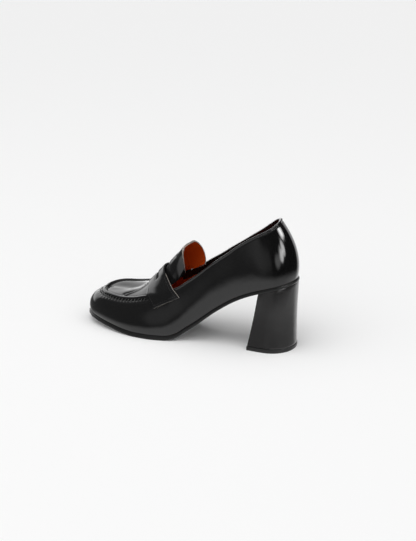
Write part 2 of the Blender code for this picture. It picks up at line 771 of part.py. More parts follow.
def strap_row(form, share):
    """Stations of one row along the strap: dense over the slot, then out to both ends."""
    half_slot = SLOT_LENGTH / 2
    if abs(share) <= STRAP_SLOT_ROW:
        middle = share / STRAP_SLOT_ROW * SLOT_WIDTH / 2
    else:
        middle = share * STRAP_WIDTH / 2
    end_place = share * STRAP_END_WIDTH / 2 + STRAP_LEAN
    sides = []
    for sign in (-1, 1):
        reach = form.end(end_place, sign)
        side = []
        for t in np.linspace(0, 1, STRAP_SIDE_STEPS + 1)[1:]:
            ease = t * t * (3 - 2 * t)
            length = half_slot + (reach - half_slot) * t
            side.append((middle + (end_place - middle) * ease, sign * length))
        sides.append(side)
    slots = np.linspace(-half_slot, half_slot, 2 * STRAP_SLOT_STEPS + 1)
    return sides[0][::-1] + [(middle, length) for length in slots] + sides[1]


def build_strap(bodies, material):
    """Saddle strap, cut to the taut form over the upper, with a slot across its middle."""
    form = StrapForm(bodies)
    spots = []
    for share in STRAP_ROWS:
        row = strap_row(form, share)
        spots += [form.point(*station) for station in row]
    points = np.array([point for point, _ in spots])
    normals = np.array([normal for _, normal in spots])
    inner = points + STRAP_CLEARANCE * normals
    outer = inner + STRAP_THICKNESS * normals
    count = len(row)
    slot_row = len(STRAP_ROWS) // 2 - 1
    slot = {slot_row * count + STRAP_SIDE_STEPS + k for k in range(2 * STRAP_SLOT_STEPS)}
    faces = [tuple(reversed(face)) for face in grid_faces(len(STRAP_ROWS), count, False)
             if face[0] not in slot]
    shell("saddle_strap", outer, inner, faces, material)


def main():
    """Builds every piece."""
    for item in list(bpy.data.objects):
        bpy.data.objects.remove(item, do_unlink=True)
    leather = add_material("black_leather", (0.010, 0.010, 0.011), 0.22)
    lining = add_material("tan_lining", (0.42, 0.16, 0.05), 0.6)
    edge = add_material("sole_edge", (0.020, 0.019, 0.018), 0.35)
    heel = add_material("heel_black", (0.014, 0.013, 0.013), 0.3)
    rubber = add_material("top_piece_rubber", (0.02, 0.02, 0.02), 0.6)
    build_outsole(edge)
    build_insole(lining)
    build_heel(heel, rubber)
    sections = wall_sections(VAMP_STEPS, QUARTER_STEPS)
    bodies = (build_upper(sections, leather), build_tongue(sections, leather))
    build_strap(bodies, leather)


main()
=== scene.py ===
"""Loafer pump for the left foot, dressed: black box leather, tan lining and a gathered seam.

The shoe stands on the floor, toe toward -X, heel toward +X, outer side toward -Y, +Z up.
All lengths are metres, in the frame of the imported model, whose sizes and tables are repeated here.
"""
import math

import bpy
import numpy as np
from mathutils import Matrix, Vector


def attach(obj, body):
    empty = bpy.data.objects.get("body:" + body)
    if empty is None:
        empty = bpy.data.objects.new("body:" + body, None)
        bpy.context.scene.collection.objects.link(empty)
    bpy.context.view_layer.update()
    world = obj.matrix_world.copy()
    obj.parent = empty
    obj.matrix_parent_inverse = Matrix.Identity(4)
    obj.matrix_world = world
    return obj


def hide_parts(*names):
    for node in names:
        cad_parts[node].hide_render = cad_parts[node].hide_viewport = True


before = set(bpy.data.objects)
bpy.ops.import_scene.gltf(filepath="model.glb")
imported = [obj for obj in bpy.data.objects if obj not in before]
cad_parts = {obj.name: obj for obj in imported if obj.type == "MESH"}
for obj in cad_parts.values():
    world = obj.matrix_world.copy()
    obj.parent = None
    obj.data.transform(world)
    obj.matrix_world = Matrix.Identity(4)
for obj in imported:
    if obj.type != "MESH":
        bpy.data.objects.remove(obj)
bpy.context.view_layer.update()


def table(names, *rows):
    """The columns of a table by their names."""
    return dict(zip(names.split(), np.array(rows).T))


# Sizes of the whole shoe
SHOE_LENGTH = 0.232
BALL_WIDTH = 0.0772
TOE_SPRING = 0.008
SOLE_THICKNESS = 0.0045
SOLE_LIP = 0.0012
SOLE_BEVEL = 0.0008
INSOLE_THICKNESS = 0.0025

# Sizes of the heel
HEEL_HEIGHT = 0.0685
HEEL_WIDTH = 0.0544
HEEL_LENGTH = 0.042
HEEL_WAIST = 0.0013
HEEL_SETBACK = 0.001
SEAT_MARGIN = 0.0004
BREAST_SLOPE = 0.0115
TOP_PIECE_THICKNESS = 0.004

# Sizes of the upper
WALL = 0.002
VAMP_RISE = 0.0245
COLLAR_RISE = 0.0613
INSTEP_RISE = 0.09

# Sizes of the strap and the tongue
STRAP_THICKNESS = 0.0018
STRAP_WIDTH = 0.0262
STRAP_END_WIDTH = 0.0285
STRAP_LEAN = 0.0015
STRAP_DROP = 0.03
STRAP_REACH = 0.06
STRAP_END_SLOPE = 0.33
SLOT_LENGTH = 0.026
SLOT_WIDTH = 0.0024
TONGUE_THICKNESS = 0.0018
TONGUE_WIDTH = 0.04
TONGUE_DEPTH = 0.029

# Distance kept between pieces that meet
GAP = 0.0003

# Numbers of faces and of samples
HEEL_STEPS = 34
VAMP_STEPS = 130
QUARTER_STEPS = 90
TONGUE_ROWS = 41
STRAP_PLANES = 28
STRAP_SAMPLES = 161
CURVE_SAMPLES = 801
END_SAMPLES = 141
WALL_ROWS = 24
WALL_SAMPLES = 61
PLUG_SAMPLES = 81
PLUG_EDGE_STEPS = 12
PLUG_MIDDLE_STEPS = 24
TONGUE_ACROSS = 49
STRAP_COLUMNS = 121
BACKING_GRID = (5, 33)
OUTSOLE_STEPS = 170
INSOLE_STEPS = 120

HALF_BALL = BALL_WIDTH / 2
TOE_X = -SHOE_LENGTH / 2

# Sole from toe to heel: edges as shares of half the ball width, spring and arch as shares of the
# toe spring and the heel height, thickness as a share of the sole's thickness
SOLE = table(
    "along outer inner spring arch thick",
    (0, 0.07, 0.07, 1, 0, 0.66),
    (0.022, -0.24, 0.37, 0.94, 0, 0.68),
    (0.056, -0.45, 0.56, 0.85, 0, 0.72),
    (0.108, -0.635, 0.74, 0.68, 0, 0.78),
    (0.168, -0.785, 0.865, 0.45, 0, 0.86),
    (0.241, -0.915, 0.955, 0.16, 0, 0.95),
    (0.306, -0.98, 0.985, 0, 0, 1),
    (0.366, -1, 0.96, 0, 0, 1),
    (0.44, -0.935, 0.865, 0, 0, 1),
    (0.466, -0.895, 0.81, 0, 0.013, 1),
    (0.5, -0.825, 0.73, 0, 0.058, 1),
    (0.534, -0.765, 0.66, 0, 0.143, 1),
    (0.578, -0.71, 0.6, 0, 0.252, 0.98),
    (0.664, -0.655, 0.56, 0, 0.488, 0.92),
    (0.75, -0.655, 0.59, 0, 0.686, 0.84),
    (0.823, -0.69, 0.655, 0, 0.812, 0.76),
    (0.88, -0.71, 0.69, 0, 0.885, 0.72),
    (0.93, -0.665, 0.66, 0, 0.938, 0.7),
    (0.97, -0.505, 0.505, 0, 0.974, 0.68),
    (0.992, -0.28, 0.28, 0, 0.994, 0.67),
    (1, 0, 0, 0, 1, 0.67),
)

# Top edge of the upper's wall, from the seam at the toe along each side to the collar's back: foot
# is where that part of the wall starts on the sole, along and side place the top edge, and rise is
# its height over the sole, as a share of the vamp's rise up to the throat and then of the collar's
EDGE = table(
    "foot outer_along outer_side outer_rise inner_along inner_side inner_rise",
    (0, 0.08, 0.08, 1, 0.08, 0.08, 1),
    (0.022, 0.088, -0.09, 1.01, 0.083, 0.25, 1.06),
    (0.069, 0.112, -0.27, 1.03, 0.1, 0.41, 1.14),
    (0.129, 0.155, -0.43, 1.08, 0.138, 0.535, 1.24),
    (0.185, 0.198, -0.53, 1.13, 0.19, 0.615, 1.31),
    (0.254, 0.259, -0.61, 1.25, 0.254, 0.665, 1.44),
    (0.319, 0.315, -0.65, 1.4, 0.31, 0.7, 1.59),
    (0.375, 0.366, -0.67, 1.54, 0.366, 0.715, 1.75),
    (0.44, 0.427, -0.685, 1.73, 0.427, 0.72, 2.03),
    (0.496, 0.483, -0.695, 0.78, 0.483, 0.71, 0.9),
    (0.56, 0.556, -0.685, 0.785, 0.556, 0.685, 0.895),
    (0.638, 0.634, -0.665, 0.796, 0.634, 0.66, 0.858),
    (0.716, 0.709, -0.65, 0.806, 0.709, 0.64, 0.845),
    (0.793, 0.78, -0.63, 0.86, 0.78, 0.62, 0.874),
    (0.862, 0.843, -0.58, 0.905, 0.843, 0.57, 0.948),
    (0.931, 0.886, -0.42, 0.932, 0.886, 0.42, 1.006),
    (0.976, 0.909, -0.22, 0.97, 0.909, 0.22, 1.014),
    (1, 0.916, 0, 1, 0.916, 0, 1),
)
THROAT_ROW = 8

# Bulge of the wall: handles of each section's curve as shares of the wall's height there
BULGE = table(
    "foot low_out low_up top_out top_down",
    (0, 0.11, 0.48, 0.52, 0.02),
    (0.06, 0.13, 0.46, 0.44, 0.05),
    (0.15, 0.13, 0.44, 0.34, 0.08),
    (0.3, 0.13, 0.42, 0.27, 0.1),
    (0.44, 0.12, 0.36, 0.16, 0.2),
    (0.56, 0.12, 0.32, 0.08, 0.3),
    (0.75, 0.1, 0.32, 0.06, 0.3),
    (0.9, 0.07, 0.36, 0.13, 0.3),
    (1, 0.06, 0.38, 0.24, 0.28),
)

# Crown of the vamp and the tongue, from the toe seam to the tongue's end: height over the floor
# as a share of the instep's rise, and how round the section is at its top
CROWN = table(
    "along height round",
    (0.08, 0.378, 1),
    (0.13, 0.4, 1),
    (0.19, 0.41, 1),
    (0.245, 0.43, 0.95),
    (0.29, 0.49, 0.85),
    (0.328, 0.58, 0.75),
    (0.362, 0.675, 0.7),
    (0.393, 0.765, 0.8),
    (0.43, 0.872, 1),
    (0.466, 0.968, 1.15),
    (0.515, 1.078, 1.25),
)
TOE_SEAM_ALONG = 0.08
THROAT_ALONG = 0.357
STRAP_ALONG = 0.3565
TONGUE_END_ALONG = 0.5155
TONGUE_START = 0.86
INSTEP_ANGLE = math.radians(46)
INSTEP_STEP = np.array([math.cos(INSTEP_ANGLE), 0, math.sin(INSTEP_ANGLE)])

# Free end of the tongue on the outer and the inner side: place behind the crown, out from it and
# below it as shares of the tongue's width and depth, lean outwards, and how far the section runs
# straight up before it turns over, and how broadly it turns
TONGUE_END = (
    (-1, -0.04, 0.335, 1.05, -0.37, 2.24, 2.28),
    (1, 0.13, 0.53, 0.98, 1.04, 0.97, 1.17),
)

# Form of the heel: end of its straight sides and waist of its back as shares, width at its breast,
# and how full its round back is
HEEL_STRAIGHT = 0.42
HEEL_BACK_WAIST = 0.6
BREAST_WIDTH = 0.97
BREAST_STEPS = 8
HEEL_FULLNESS = 0.92
SEAT_BLEND = 3

# Spacing of the plug's sections and rise of the tongue's sides, and how far a section of the plug
# runs on before it turns over
PLUG_EASE = 1.12
TONGUE_RISE_EASE = 1.45
ARCH_START = 1.15

# Part of the strap's width that its taut lines cover, and of its reach where an end may lie
STRAP_COVER = (-0.6, 0.75)
STRAP_END_RANGE = (0.3, 1)
LINE_STEP = 0.001

LEAST_LENGTH = 1e-9

# Camera fitted to the photograph: azimuth and height that it looks from, its place and its lens
VIEW_WAY = (-66.52, 17.38)
CAMERA_PLACE = (0.47282, -1.04058, 0.42326)
CAMERA_LENS = 78.8

# Rolled seam: its grooves by depth, place across and width, and where it fades before the throat,
# on the wall and on the plug
SEAM_RISE = 0.0018
SEAM_HALF_WIDTH = 0.0027
SEAM_FULLNESS = 0.75
SEAM_GROOVES = ((0.0003, -0.0036, 0.0012), (0.00035, 0.0036, 0.0009))
SEAM_FADE = 0.006
SEAM_STOP = 0.012
PLUG_SEAM_STOP = 0.01

# Gathers under the seam: depths under the edge where they begin, are full, weaken and end
GATHER_PITCH = 0.004
GATHER_DEPTH = 0.00028
GATHER_BAND = (0.0028, 0.0042, 0.005, 0.01)

# Collar: its rounding, its bead and groove by height, place and width, and the facing inside it
EDGE_ROUND = 0.0005
COLLAR_BEAD = (0.00055, 0.0011, 0.0009)
COLLAR_GROOVE = (0.0003, 0.0029, 0.0006)
FACING_DEPTH = 0.009
FACING_STOP = 0.006
FACING_THICKNESS = 0.0002

# Creases of the plug: the ridge's line in plan, its height and width, and the trough beside it,
# which fade at the line's ends and near the seam
CREASE_FADE = (0.0015, 0.0045)
CREASES = (
    {"line": ((-0.04, 0), (-0.048, -0.005), (-0.058, -0.012), (-0.067, -0.019)),
     "ridge": 0.0016, "width": 0.0015, "trough": 0.0021, "offset": -0.0038, "trough_width": 0.0026,
     "start": 1, "end": 0.7, "ease": 0.16},
    {"line": ((-0.049, 0.008), (-0.059, 0.002), (-0.07, -0.004)),
     "ridge": 0.0003, "width": 0.003, "trough": 0.0003, "offset": -0.005, "trough_width": 0.003,
     "start": 1, "end": 0.5, "ease": 0.3},
)

# Thickness of the black leather, and hairlines between layers
LEATHER = 0.0011
TONGUE_LEATHER = 0.001
LINING_GAP = 0.00005
TONGUE_GAP = 0.00003
STRAP_GAP = 0.0001

# Depths under the top edge of the wall's finest rows, and the band of fine rows along the plug's
# edge, in metres and at most as a share of its width
NEAR_ROWS = np.array([
    12, 10.8, 9.8, 9, 8.2, 7.4, 6.8, 6.2, 5.7, 5.2, 4.8, 4.4, 4, 3.6, 3.2, 2.8, 2.4, 2.1, 1.8,
    1.5, 1.2, 0.9, 0.6, 0.35, 0.15, 0]) / 1000
PLUG_EDGE_BAND = (0.006, 0.3)

# Stitches: thickness of the thread, form of one stitch, and rows of them by their pitch, half
# length, depth under the edge at both ends, thickness as a share of the thread, and height
THREAD = 0.0003
STITCH_RINGS = 7
STITCH_SIDES = 6
STITCH_DIVE = 0.06
STITCH_SWELL = 0.55
LEAST_STITCH = 0.0005
SEAM_STITCH = (GATHER_PITCH, 0.0006, 0.0056, 0.0022, 1.35, 0.0004)
SEAM_STITCH_STOP = 0.016
COLLAR_STITCH = (0.0026, 0.0009, 0.0028, 0.0028, 0.7, 0.0002)
COLLAR_STITCH_STOPS = (0.004, 0.002)

# Tongue: its flared end, the recess behind the strap, its start just behind the strap painted dark
# and matt as shade, and its inner side edge, which hangs lower; ranges are shares of the recess, of
# the tongue's rows or of its half width
TONGUE_FLARE = 0.0021
FLARE_ROWS = (0.66, 1)
FLARE_PLACE = -0.4
FLARE_WIDTH = 0.27
RECESS_LENGTH = 0.01
RECESS_DEPTH = 0.0013
RECESS_START = (-0.6, 0.1)
RECESS_END = (0.35, 1)
RECESS_SIDES = (0.35, 0.95)
SHADE_PAINTED_UNTIL = 0.55
FAR_EDGE_DROP = 0.0016
FAR_EDGE_SIDE = (0.5, 1)
FAR_EDGE_ROWS = (0.25, 0.7)

# Strap: easing of its taut lines, rows across its half width and toward its ends as shares, its
# rounded edge, its crowned middle, and how far from its middle its cut edge is painted black as
# shade, beyond which it is left pale
STRAP_EASING = (1, 4, 7, 4, 1)
STRAP_EASED_TO = 0.002
STRAP_ROWS = (0.22, 0.35, 0.5, 0.65, 0.8, 0.9, 0.955, 0.985, 1)
STRAP_END_ROWS = (0.004, 0.01, 0.02)
STRAP_PLAIN = 0.97
STRAP_HALF_LENGTH = 0.045
STRAP_EDGE_DROP = 0.0008
STRAP_EDGE_ROUND = 0.0009
STRAP_SWELL = 0.0003
SLOT_EDGE = 0.001
PALE_EDGE_FROM = 0.0165

# Strap's stitch line: groove depth and width, distance from the edge, where it begins, its share of
# the strap's length, and the stitches with their pitch, length, thickness and height
LINE_DEPTH = 0.00016
LINE_WIDTH = 0.0005
LINE_INSET = 0.0024
LINE_FROM = 0.016
LINE_REACH = (0.4, 0.945)
LINE_SAMPLES = 60
LINE_HEIGHT = 0.00008
LINE_STOPS = (0.0008, 0.0014)
LINE_PITCH = 0.0022
LINE_STITCH = 0.0015
LINE_THREAD = (THREAD * 0.95, 0.0002)

# Backing behind the slot: shares of the strap that it covers, and its two faces over the upper
BACKING_COVER = (0.5, 0.42)
BACKING_FACES = (0.00035, 0.00005)

# Rows of the sole and the sock by share of height and inset, of the top piece by height and size,
# and of the heel by share of height, with its corners
OUTSOLE_ROWS = (
    (0, 0.0004), (0.02, 0.0002), (0.06, 0.0001), (0.12, 0), (0.28, 0), (0.5, 0), (0.66, 0),
    (0.72, 0.00015), (0.76, 0.0005), (0.8, 0.0006), (0.92, 0.0006), (0.97, 0.0008), (1, 0.0011))
INSOLE_ROWS = ((0, 0), (0.5, 0), (0.8, 0.0002), (0.95, 0.0006), (1, 0.0013))
TIP_ROWS = ((0, 0.996), (0.0002, 1), (0.0035, 1), (0.0038, 0.998), (0.004, 0.988))
HEEL_ROWS = (0, 0.006, *np.linspace(0.02, 0.985, 22), 1)
HEEL_END_SIZE = 0.99
HEEL_CORNER = 0.0007
CORNER_TURNS = (90, 60, 30, 0)

# Sizes of a material's spots, glossy patches and waves, as noise scales
SPOT_SCALE = 900
GLOSS_SCALE = 160
WAVE_SCALE = 70
LEAST_ROUGHNESS = 0.02

# Floor, and studio light: the wall's brightness from the toe's side to the heel's, and the pale
# table's tilt, edge and brightness
FLOOR_HALF = 6
FLOOR_PALE = (0.93, 0.93, 0.93)
BACKDROP_LIGHT = 0.94
SKY_LIGHT = (0.08, 1.55)
SKY_WAY = (-80, 55)
WALL_SPREAD = (-0.15, 0.55)
WALL_LIGHT = (0.17, 0.03)
TABLE_TILT = (-0.065, 0, 1)
TABLE_EDGE = (-0.5, -0.28)
TABLE_SPREAD = (-0.8, 0.6)
TABLE_LIGHT = (0.82, 0.98)
TOP_BOX_SIZE = (1.2, 0.9)
TOP_BOX_PLACE = (-0.15, -0.5, 1.5)
TOP_BOX_POWER = 2.5

# Window behind the toe's side: its brightness, and its borders by their way in and their softness
WINDOW_LIGHT = 1.55
WINDOW_BORDERS = (
    (208, 0, -0.03, 0.05),
    (86, 0, -0.05, 0.2),
    (0, 90, -0.03, 0.06),
    (0, -90, -0.9, -0.66),
)

# Lamps that the gloss shows: azimuth, height, angle that is full, angle where it ends, brightness
LAMPS = (
    (-22, 17, 3, 14, 10),
    (-4, 23, 3, 13, 10),
    (-42, 8, 3, 15, 1.5),
    (18, 35, 3, 9, 12),
    (28, 34, 3, 9, 12),
    (-96, 8, 8, 30, 0.26),
    (150, 85, 10, 50, 0.25),
    (100, -14, 20, 42, 0.9),
)


def smooth(places, values, at):
    """Reads a smooth curve through the rows that never runs past them."""
    step = np.diff(places)
    rise = np.diff(values) / step
    slope = np.zeros(len(places))
    for i in range(1, len(places) - 1):
        if rise[i - 1] * rise[i] > 0:
            before = 2 * step[i] + step[i - 1]
            after = step[i] + 2 * step[i - 1]
            slope[i] = (before + after) / (before / rise[i - 1] + after / rise[i])
    slope[0] = rise[0]
    slope[-1] = rise[-1]
    at = np.clip(at, places[0], places[-1])
    i = np.clip(np.searchsorted(places, at, side="right") - 1, 0, len(places) - 2)
    t = (at - places[i]) / step[i]
    low = (1 + 2 * t) * (1 - t) ** 2 * values[i] + t * (1 - t) ** 2 * step[i] * slope[i]
    high = t * t * (3 - 2 * t) * values[i + 1] + t * t * (t - 1) * step[i] * slope[i + 1]
    return low + high


def turn_of(along):
    """Angle of a half circle whose foot divides the length at a share of it."""
    return np.arccos(1 - 2 * np.clip(along, 0, 1))


def sole_read(name, along):
    """One column of the sole's table at a share of the length."""
    return smooth(SOLE["along"], SOLE[name], along)


def share_of(x):
    """Share of the shoe's length at a place."""
    return (x - TOE_X) / SHOE_LENGTH


def sole_bottom(x):
    """Height of the sole's underside."""
    along = share_of(x)
    return TOE_SPRING * sole_read("spring", along) + HEEL_HEIGHT * sole_read("arch", along)


def sole_top(x):
    """Height of the sole's upper face."""
    return sole_bottom(x) + SOLE_THICKNESS * sole_read("thick", share_of(x))


def sole_edge(side, turn):
    """Plan of the sole's outer or inner edge at an angle of the half circle."""
    across = smooth(turn_of(SOLE["along"]), SOLE[side], turn)
    x = TOE_X + SHOE_LENGTH * (1 - np.cos(turn)) / 2
    return np.stack([x, HALF_BALL * across], -1)


def run_length(points):
    """Length along a polyline at each of its points."""
    steps = np.linalg.norm(np.diff(points, axis=0), axis=1)
    return np.concatenate([[0], np.cumsum(steps)])


def even_turns(side, count):
    """Angles that divide one edge of the sole into equal lengths."""
    turn = np.linspace(0, math.pi, CURVE_SAMPLES)
    lengths = run_length(sole_edge(side, turn))
    return np.interp(np.linspace(0, lengths[-1], count + 1), lengths, turn)


def plan_normals(points):
    """Outward directions of a closed plan loop that runs anticlockwise."""
    ahead = np.roll(points, -1, axis=0) - np.roll(points, 1, axis=0)
    ahead /= np.linalg.norm(ahead, axis=1)[:, None]
    return np.stack([ahead[:, 1], -ahead[:, 0]], -1)


def plan_loop(steps, inset):
    """The sole's outline as a closed loop: toe tip, outer edge, back, inner edge."""
    outer = sole_edge("outer", even_turns("outer", steps))
    inner = sole_edge("inner", even_turns("inner", steps))
    loop = np.concatenate([outer, inner[-2:0:-1]])
    return loop - inset * plan_normals(loop)


def grid_faces(rows, count, closed):
    """Faces of a grid of rows of points, each row closed or open."""
    faces = []
    for low in range(0, (rows - 1) * count, count):
        for i in range(count if closed else count - 1):
            j = (i + 1) % count
            faces.append((low + i, low + j, low + count + j, low + count + i))
    return faces


def lifted(loop, heights):
    """A plan loop at given heights."""
    return np.column_stack([loop, heights])


def edge_read(side, name, place):
    """One measure of a side's top edge between the rows of its table."""
    values = turn_of(EDGE["foot"]) if name == "foot" else EDGE[f"{side}_{name}"]
    rows = np.arange(len(values))
    if name == "rise":
        values = values * np.where(rows > THROAT_ROW, COLLAR_RISE, VAMP_RISE)
    return smooth(rows, values, place)


def edge_places(side):
    """Row places that divide the seam and the collar of one side into equal lengths."""
    fine = np.linspace(0, len(EDGE["foot"]) - 1, CURVE_SAMPLES)
    points = np.stack([edge_read(side, name, fine) for name in ("along", "side", "foot")], -1)
    lengths = run_length(points * (SHOE_LENGTH, HALF_BALL, SHOE_LENGTH))
    throat = np.interp(THROAT_ROW, fine, lengths)
    vamp = np.interp(np.linspace(0, throat, VAMP_STEPS + 1), lengths, fine)
    quarter = np.interp(np.linspace(throat, lengths[-1], QUARTER_STEPS + 1), lengths, fine)
    return np.concatenate([vamp[:-1], [float(THROAT_ROW)], quarter[1:]])


def wall_columns(side):
    """Foot and top edge of the wall of one side."""
    places = edge_places(side)
    turn = edge_read(side, "foot", places)
    x = TOE_X + SHOE_LENGTH * edge_read(side, "along", places)
    y = HALF_BALL * edge_read(side, "side", places)
    z = sole_top(x) + edge_read(side, "rise", places)
    return turn, sole_edge(side, turn), np.column_stack([x, y, z])


def wall_sections():
    """Angle, foot, outward direction and top edge of each section round the upper."""
    turn, foot, top = [np.concatenate([outer, inner[-2:0:-1]])
                       for outer, inner in zip(wall_columns("outer"), wall_columns("inner"))]
    out = plan_normals(foot)
    foot = foot - SOLE_LIP * out
    foot = np.column_stack([foot, sole_top(foot[:, 0]) + GAP])
    return turn, foot, np.column_stack([out, np.zeros(len(out))]), top


def wall_point(sections, share):
    """A row of points round the upper at a share of the way up each section, and the way on."""
    turn, foot, out, top = sections
    along = (1 - np.cos(turn)) / 2
    low_out, low_up, top_out, top_down = [
        smooth(BULGE["foot"], BULGE[name], along)[:, None]
        for name in ("low_out", "low_up", "top_out", "top_down")]
    height = (top[:, 2] - foot[:, 2])[:, None]
    up = np.array([0, 0, 1.0])
    low = foot + height * (low_out * out + low_up * up)
    high = top + height * (top_out * out - top_down * up)
    t = share
    point = (1 - t) ** 3 * foot + 3 * t * (1 - t) ** 2 * low
    point = point + 3 * t * t * (1 - t) * high + t ** 3 * top
    return point, top - high


def crown_read(name, along):
    """One column of the crown's table."""
    return smooth(CROWN["along"], CROWN[name], along)


def crown_point(along, middle=0.0):
    """A point on the crown line."""
    height = INSTEP_RISE * float(crown_read("height", along))
    return np.array([TOE_X + SHOE_LENGTH * along, middle, height])


def arch(left, right, crown, shares):
    """A cross section over the crown; each side gives its edge, its way, its rise and its turn."""
    points = np.zeros((len(shares), 3))
    for side, chosen in ((left, shares <= 0), (right, shares > 0)):
        edge, way, rise, turn = side
        t = (1 - np.abs(shares[chosen]))[:, None]
        span = np.linalg.norm(crown - edge)
        start = way / max(np.linalg.norm(way), LEAST_LENGTH) * span * rise
        level = np.array([0, crown[1] - edge[1], 0])
        level = level / max(np.linalg.norm(level), LEAST_LENGTH) * span * turn
        half = (1 + 2 * t) * (1 - t) ** 2 * edge + t * (1 - t) ** 2 * start
        points[chosen] = half + t * t * (3 - 2 * t) * crown + t * t * (t - 1) * level
    return points


def as_quads(faces):
    """Three- and four-sided faces as rows of four points."""
    return np.array([f if len(f) == 4 else f + (f[-1],) for f in faces])


def vertex_normals(points, faces):
    """Smooth outward directions of a mesh."""
    total = np.zeros_like(points)
    quads = as_quads(faces)
    ahead = points[quads[:, 2]] - points[quads[:, 0]]
    normal = np.cross(ahead, points[quads[:, 3]] - points[quads[:, 1]])
    for k in range(4):
        np.add.at(total, quads[:, k], normal)
    return total / np.linalg.norm(total, axis=1)[:, None]


def plug_sections(sections):
    """Sides and crown of each cross section of the plug, from the toe seam to the throat."""
    top = sections[3]
    way = wall_point(sections, 1.0)[1]
    plug = []
    for i in range(1, VAMP_STEPS + 1):
        share = i / VAMP_STEPS
        along = TOE_SEAM_ALONG + (THROAT_ALONG - TOE_SEAM_ALONG) * share ** PLUG_EASE
        turn = float(crown_read("round", along))
        left = (top[i], way[i], ARCH_START, turn)
        right = (top[-i], way[-i], ARCH_START, turn)
        middle = (top[i][1] + top[-i][1]) / 2 * (1 - share)
        plug.append((left, right, crown_point(along, middle)))
    return plug


def tongue_rows(sections, across):
    """Cross sections of the tongue, from its seam under the strap to its free end."""
    plug = plug_sections(sections)[-1]
    rows = [arch(*plug, np.linspace(-TONGUE_START, TONGUE_START, across)) + GAP * INSTEP_STEP]
    end_crown = crown_point(TONGUE_END_ALONG)
    starts = ((rows[0][0], rows[0][1]), (rows[0][-1], rows[0][-2]))
    for share in np.linspace(0, 1, TONGUE_ROWS)[1:]:
        along = THROAT_ALONG + (TONGUE_END_ALONG - THROAT_ALONG) * share
        turn = float(crown_read("round", along))
        ease = share * share * (3 - 2 * share)
        sides = []
        for (begin, beyond), spot in zip(starts, TONGUE_END):
            sign, behind, out, drop, lean, rise, end_turn = spot
            offset = (behind * TONGUE_WIDTH, sign * out * TONGUE_WIDTH, -drop * TONGUE_DEPTH)
            end = end_crown + offset
            point = begin + (end - begin) * (share, ease, share ** TONGUE_RISE_EASE)
            way = (beyond - begin) / np.linalg.norm(beyond - begin)
            way = way * (1 - share) + np.array([0, lean, 1.0]) * share
            sides.append((point, way, ARCH_START + (rise - ARCH_START) * share,
                          turn + (end_turn - turn) * share))
        crown = crown_point(along) + GAP * INSTEP_STEP
        rows.append(arch(*sides, crown, np.linspace(-1, 1, across)))
    return rows


def cut(points, faces, origin, way):
    """Places where the plane through the origin, square to a way, crosses the faces' edges."""
    height = (points - origin) @ way
    quads = as_quads(faces)
    pairs = np.concatenate([quads[:, [0, 1]], quads[:, [1, 2]], quads[:, [3, 2]], quads[:, [0, 3]]])
    pairs = pairs[height[pairs[:, 0]] * height[pairs[:, 1]] < 0]
    a, b = height[pairs[:, 0]], height[pairs[:, 1]]
    t = (a / (a - b))[:, None]
    return points[pairs[:, 0]] + t * (points[pairs[:, 1]] - points[pairs[:, 0]])


def taut(pairs):
    """Hull of points in a plane, from the bottom over the left side and the top to the right."""
    pairs = sorted(map(tuple, pairs))
    hull = []
    for run in (pairs, pairs[::-1]):
        chain = []
        for p in run:
            while len(chain) > 1:
                a, b = chain[-2], chain[-1]
                if (b[0] - a[0]) * (p[1] - a[1]) - (b[1] - a[1]) * (p[0] - a[0]) < 0:
                    break
                chain.pop()
            chain.append(p)
        hull += chain[:-1]
    hull = np.array(hull)
    turn = np.arctan2(hull[:, 0], hull[:, 1] + STRAP_DROP)
    return hull[np.argsort(turn)]


class StrapForm:
    """Taut lines over upper and tongue, in planes across the instep, read from the crown."""

    def __init__(self, bodies):
        self.side = np.array([0, 1.0, 0])
        self.up = np.array([-INSTEP_STEP[2], 0, INSTEP_STEP[0]])
        self.crown = crown_point(STRAP_ALONG)
        self.places = np.linspace(*STRAP_COVER, STRAP_PLANES) * STRAP_WIDTH
        self.lengths = np.linspace(-1, 1, STRAP_SAMPLES) * STRAP_REACH
        self.lines = []
        for place in self.places:
            origin = self.crown + place * INSTEP_STEP
            found = [cut(points, faces, origin, INSTEP_STEP) for points, faces in bodies]
            found = np.concatenate(found) - origin
            line = taut(np.stack([found @ self.side, found @ self.up], -1))
            run = run_length(line)
            run -= np.interp(0, line[:, 0], run)
            self.lines.append([np.interp(self.lengths, run, line[:, k]) for k in (0, 1)])

    def flat(self, place, length):
        """The taut line at a place along the instep and a length from the crown."""
        step = self.places[1] - self.places[0]
        at = np.clip((place - self.places[0]) / step, 0, len(self.places) - 1)
        low = min(int(at), len(self.places) - 2)
        near, far = self.lines[low], self.lines[low + 1]
        part = at - low
        return np.array([np.interp(length, self.lengths, (1 - part) * near[k] + part * far[k])
                         for k in (0, 1)])

    def end(self, place, sign):
        """Length at which the strap ends."""
        tries = np.linspace(*STRAP_END_RANGE, END_SAMPLES) * STRAP_REACH
        depths = [-self.flat(place, sign * t)[1] for t in tries]
        return float(np.interp(STRAP_DROP + STRAP_END_SLOPE * place, depths, tries))

    def point(self, place, length):
        """A point of the taut form and its outward direction."""
        here = self.flat(place, length)
        ahead = self.flat(place, length + LINE_STEP) - self.flat(place, length - LINE_STEP)
        ahead /= np.linalg.norm(ahead)
        normal = -ahead[1] * self.side + ahead[0] * self.up
        return self.crown + place * INSTEP_STEP + here[0] * self.side + here[1] * self.up, normal


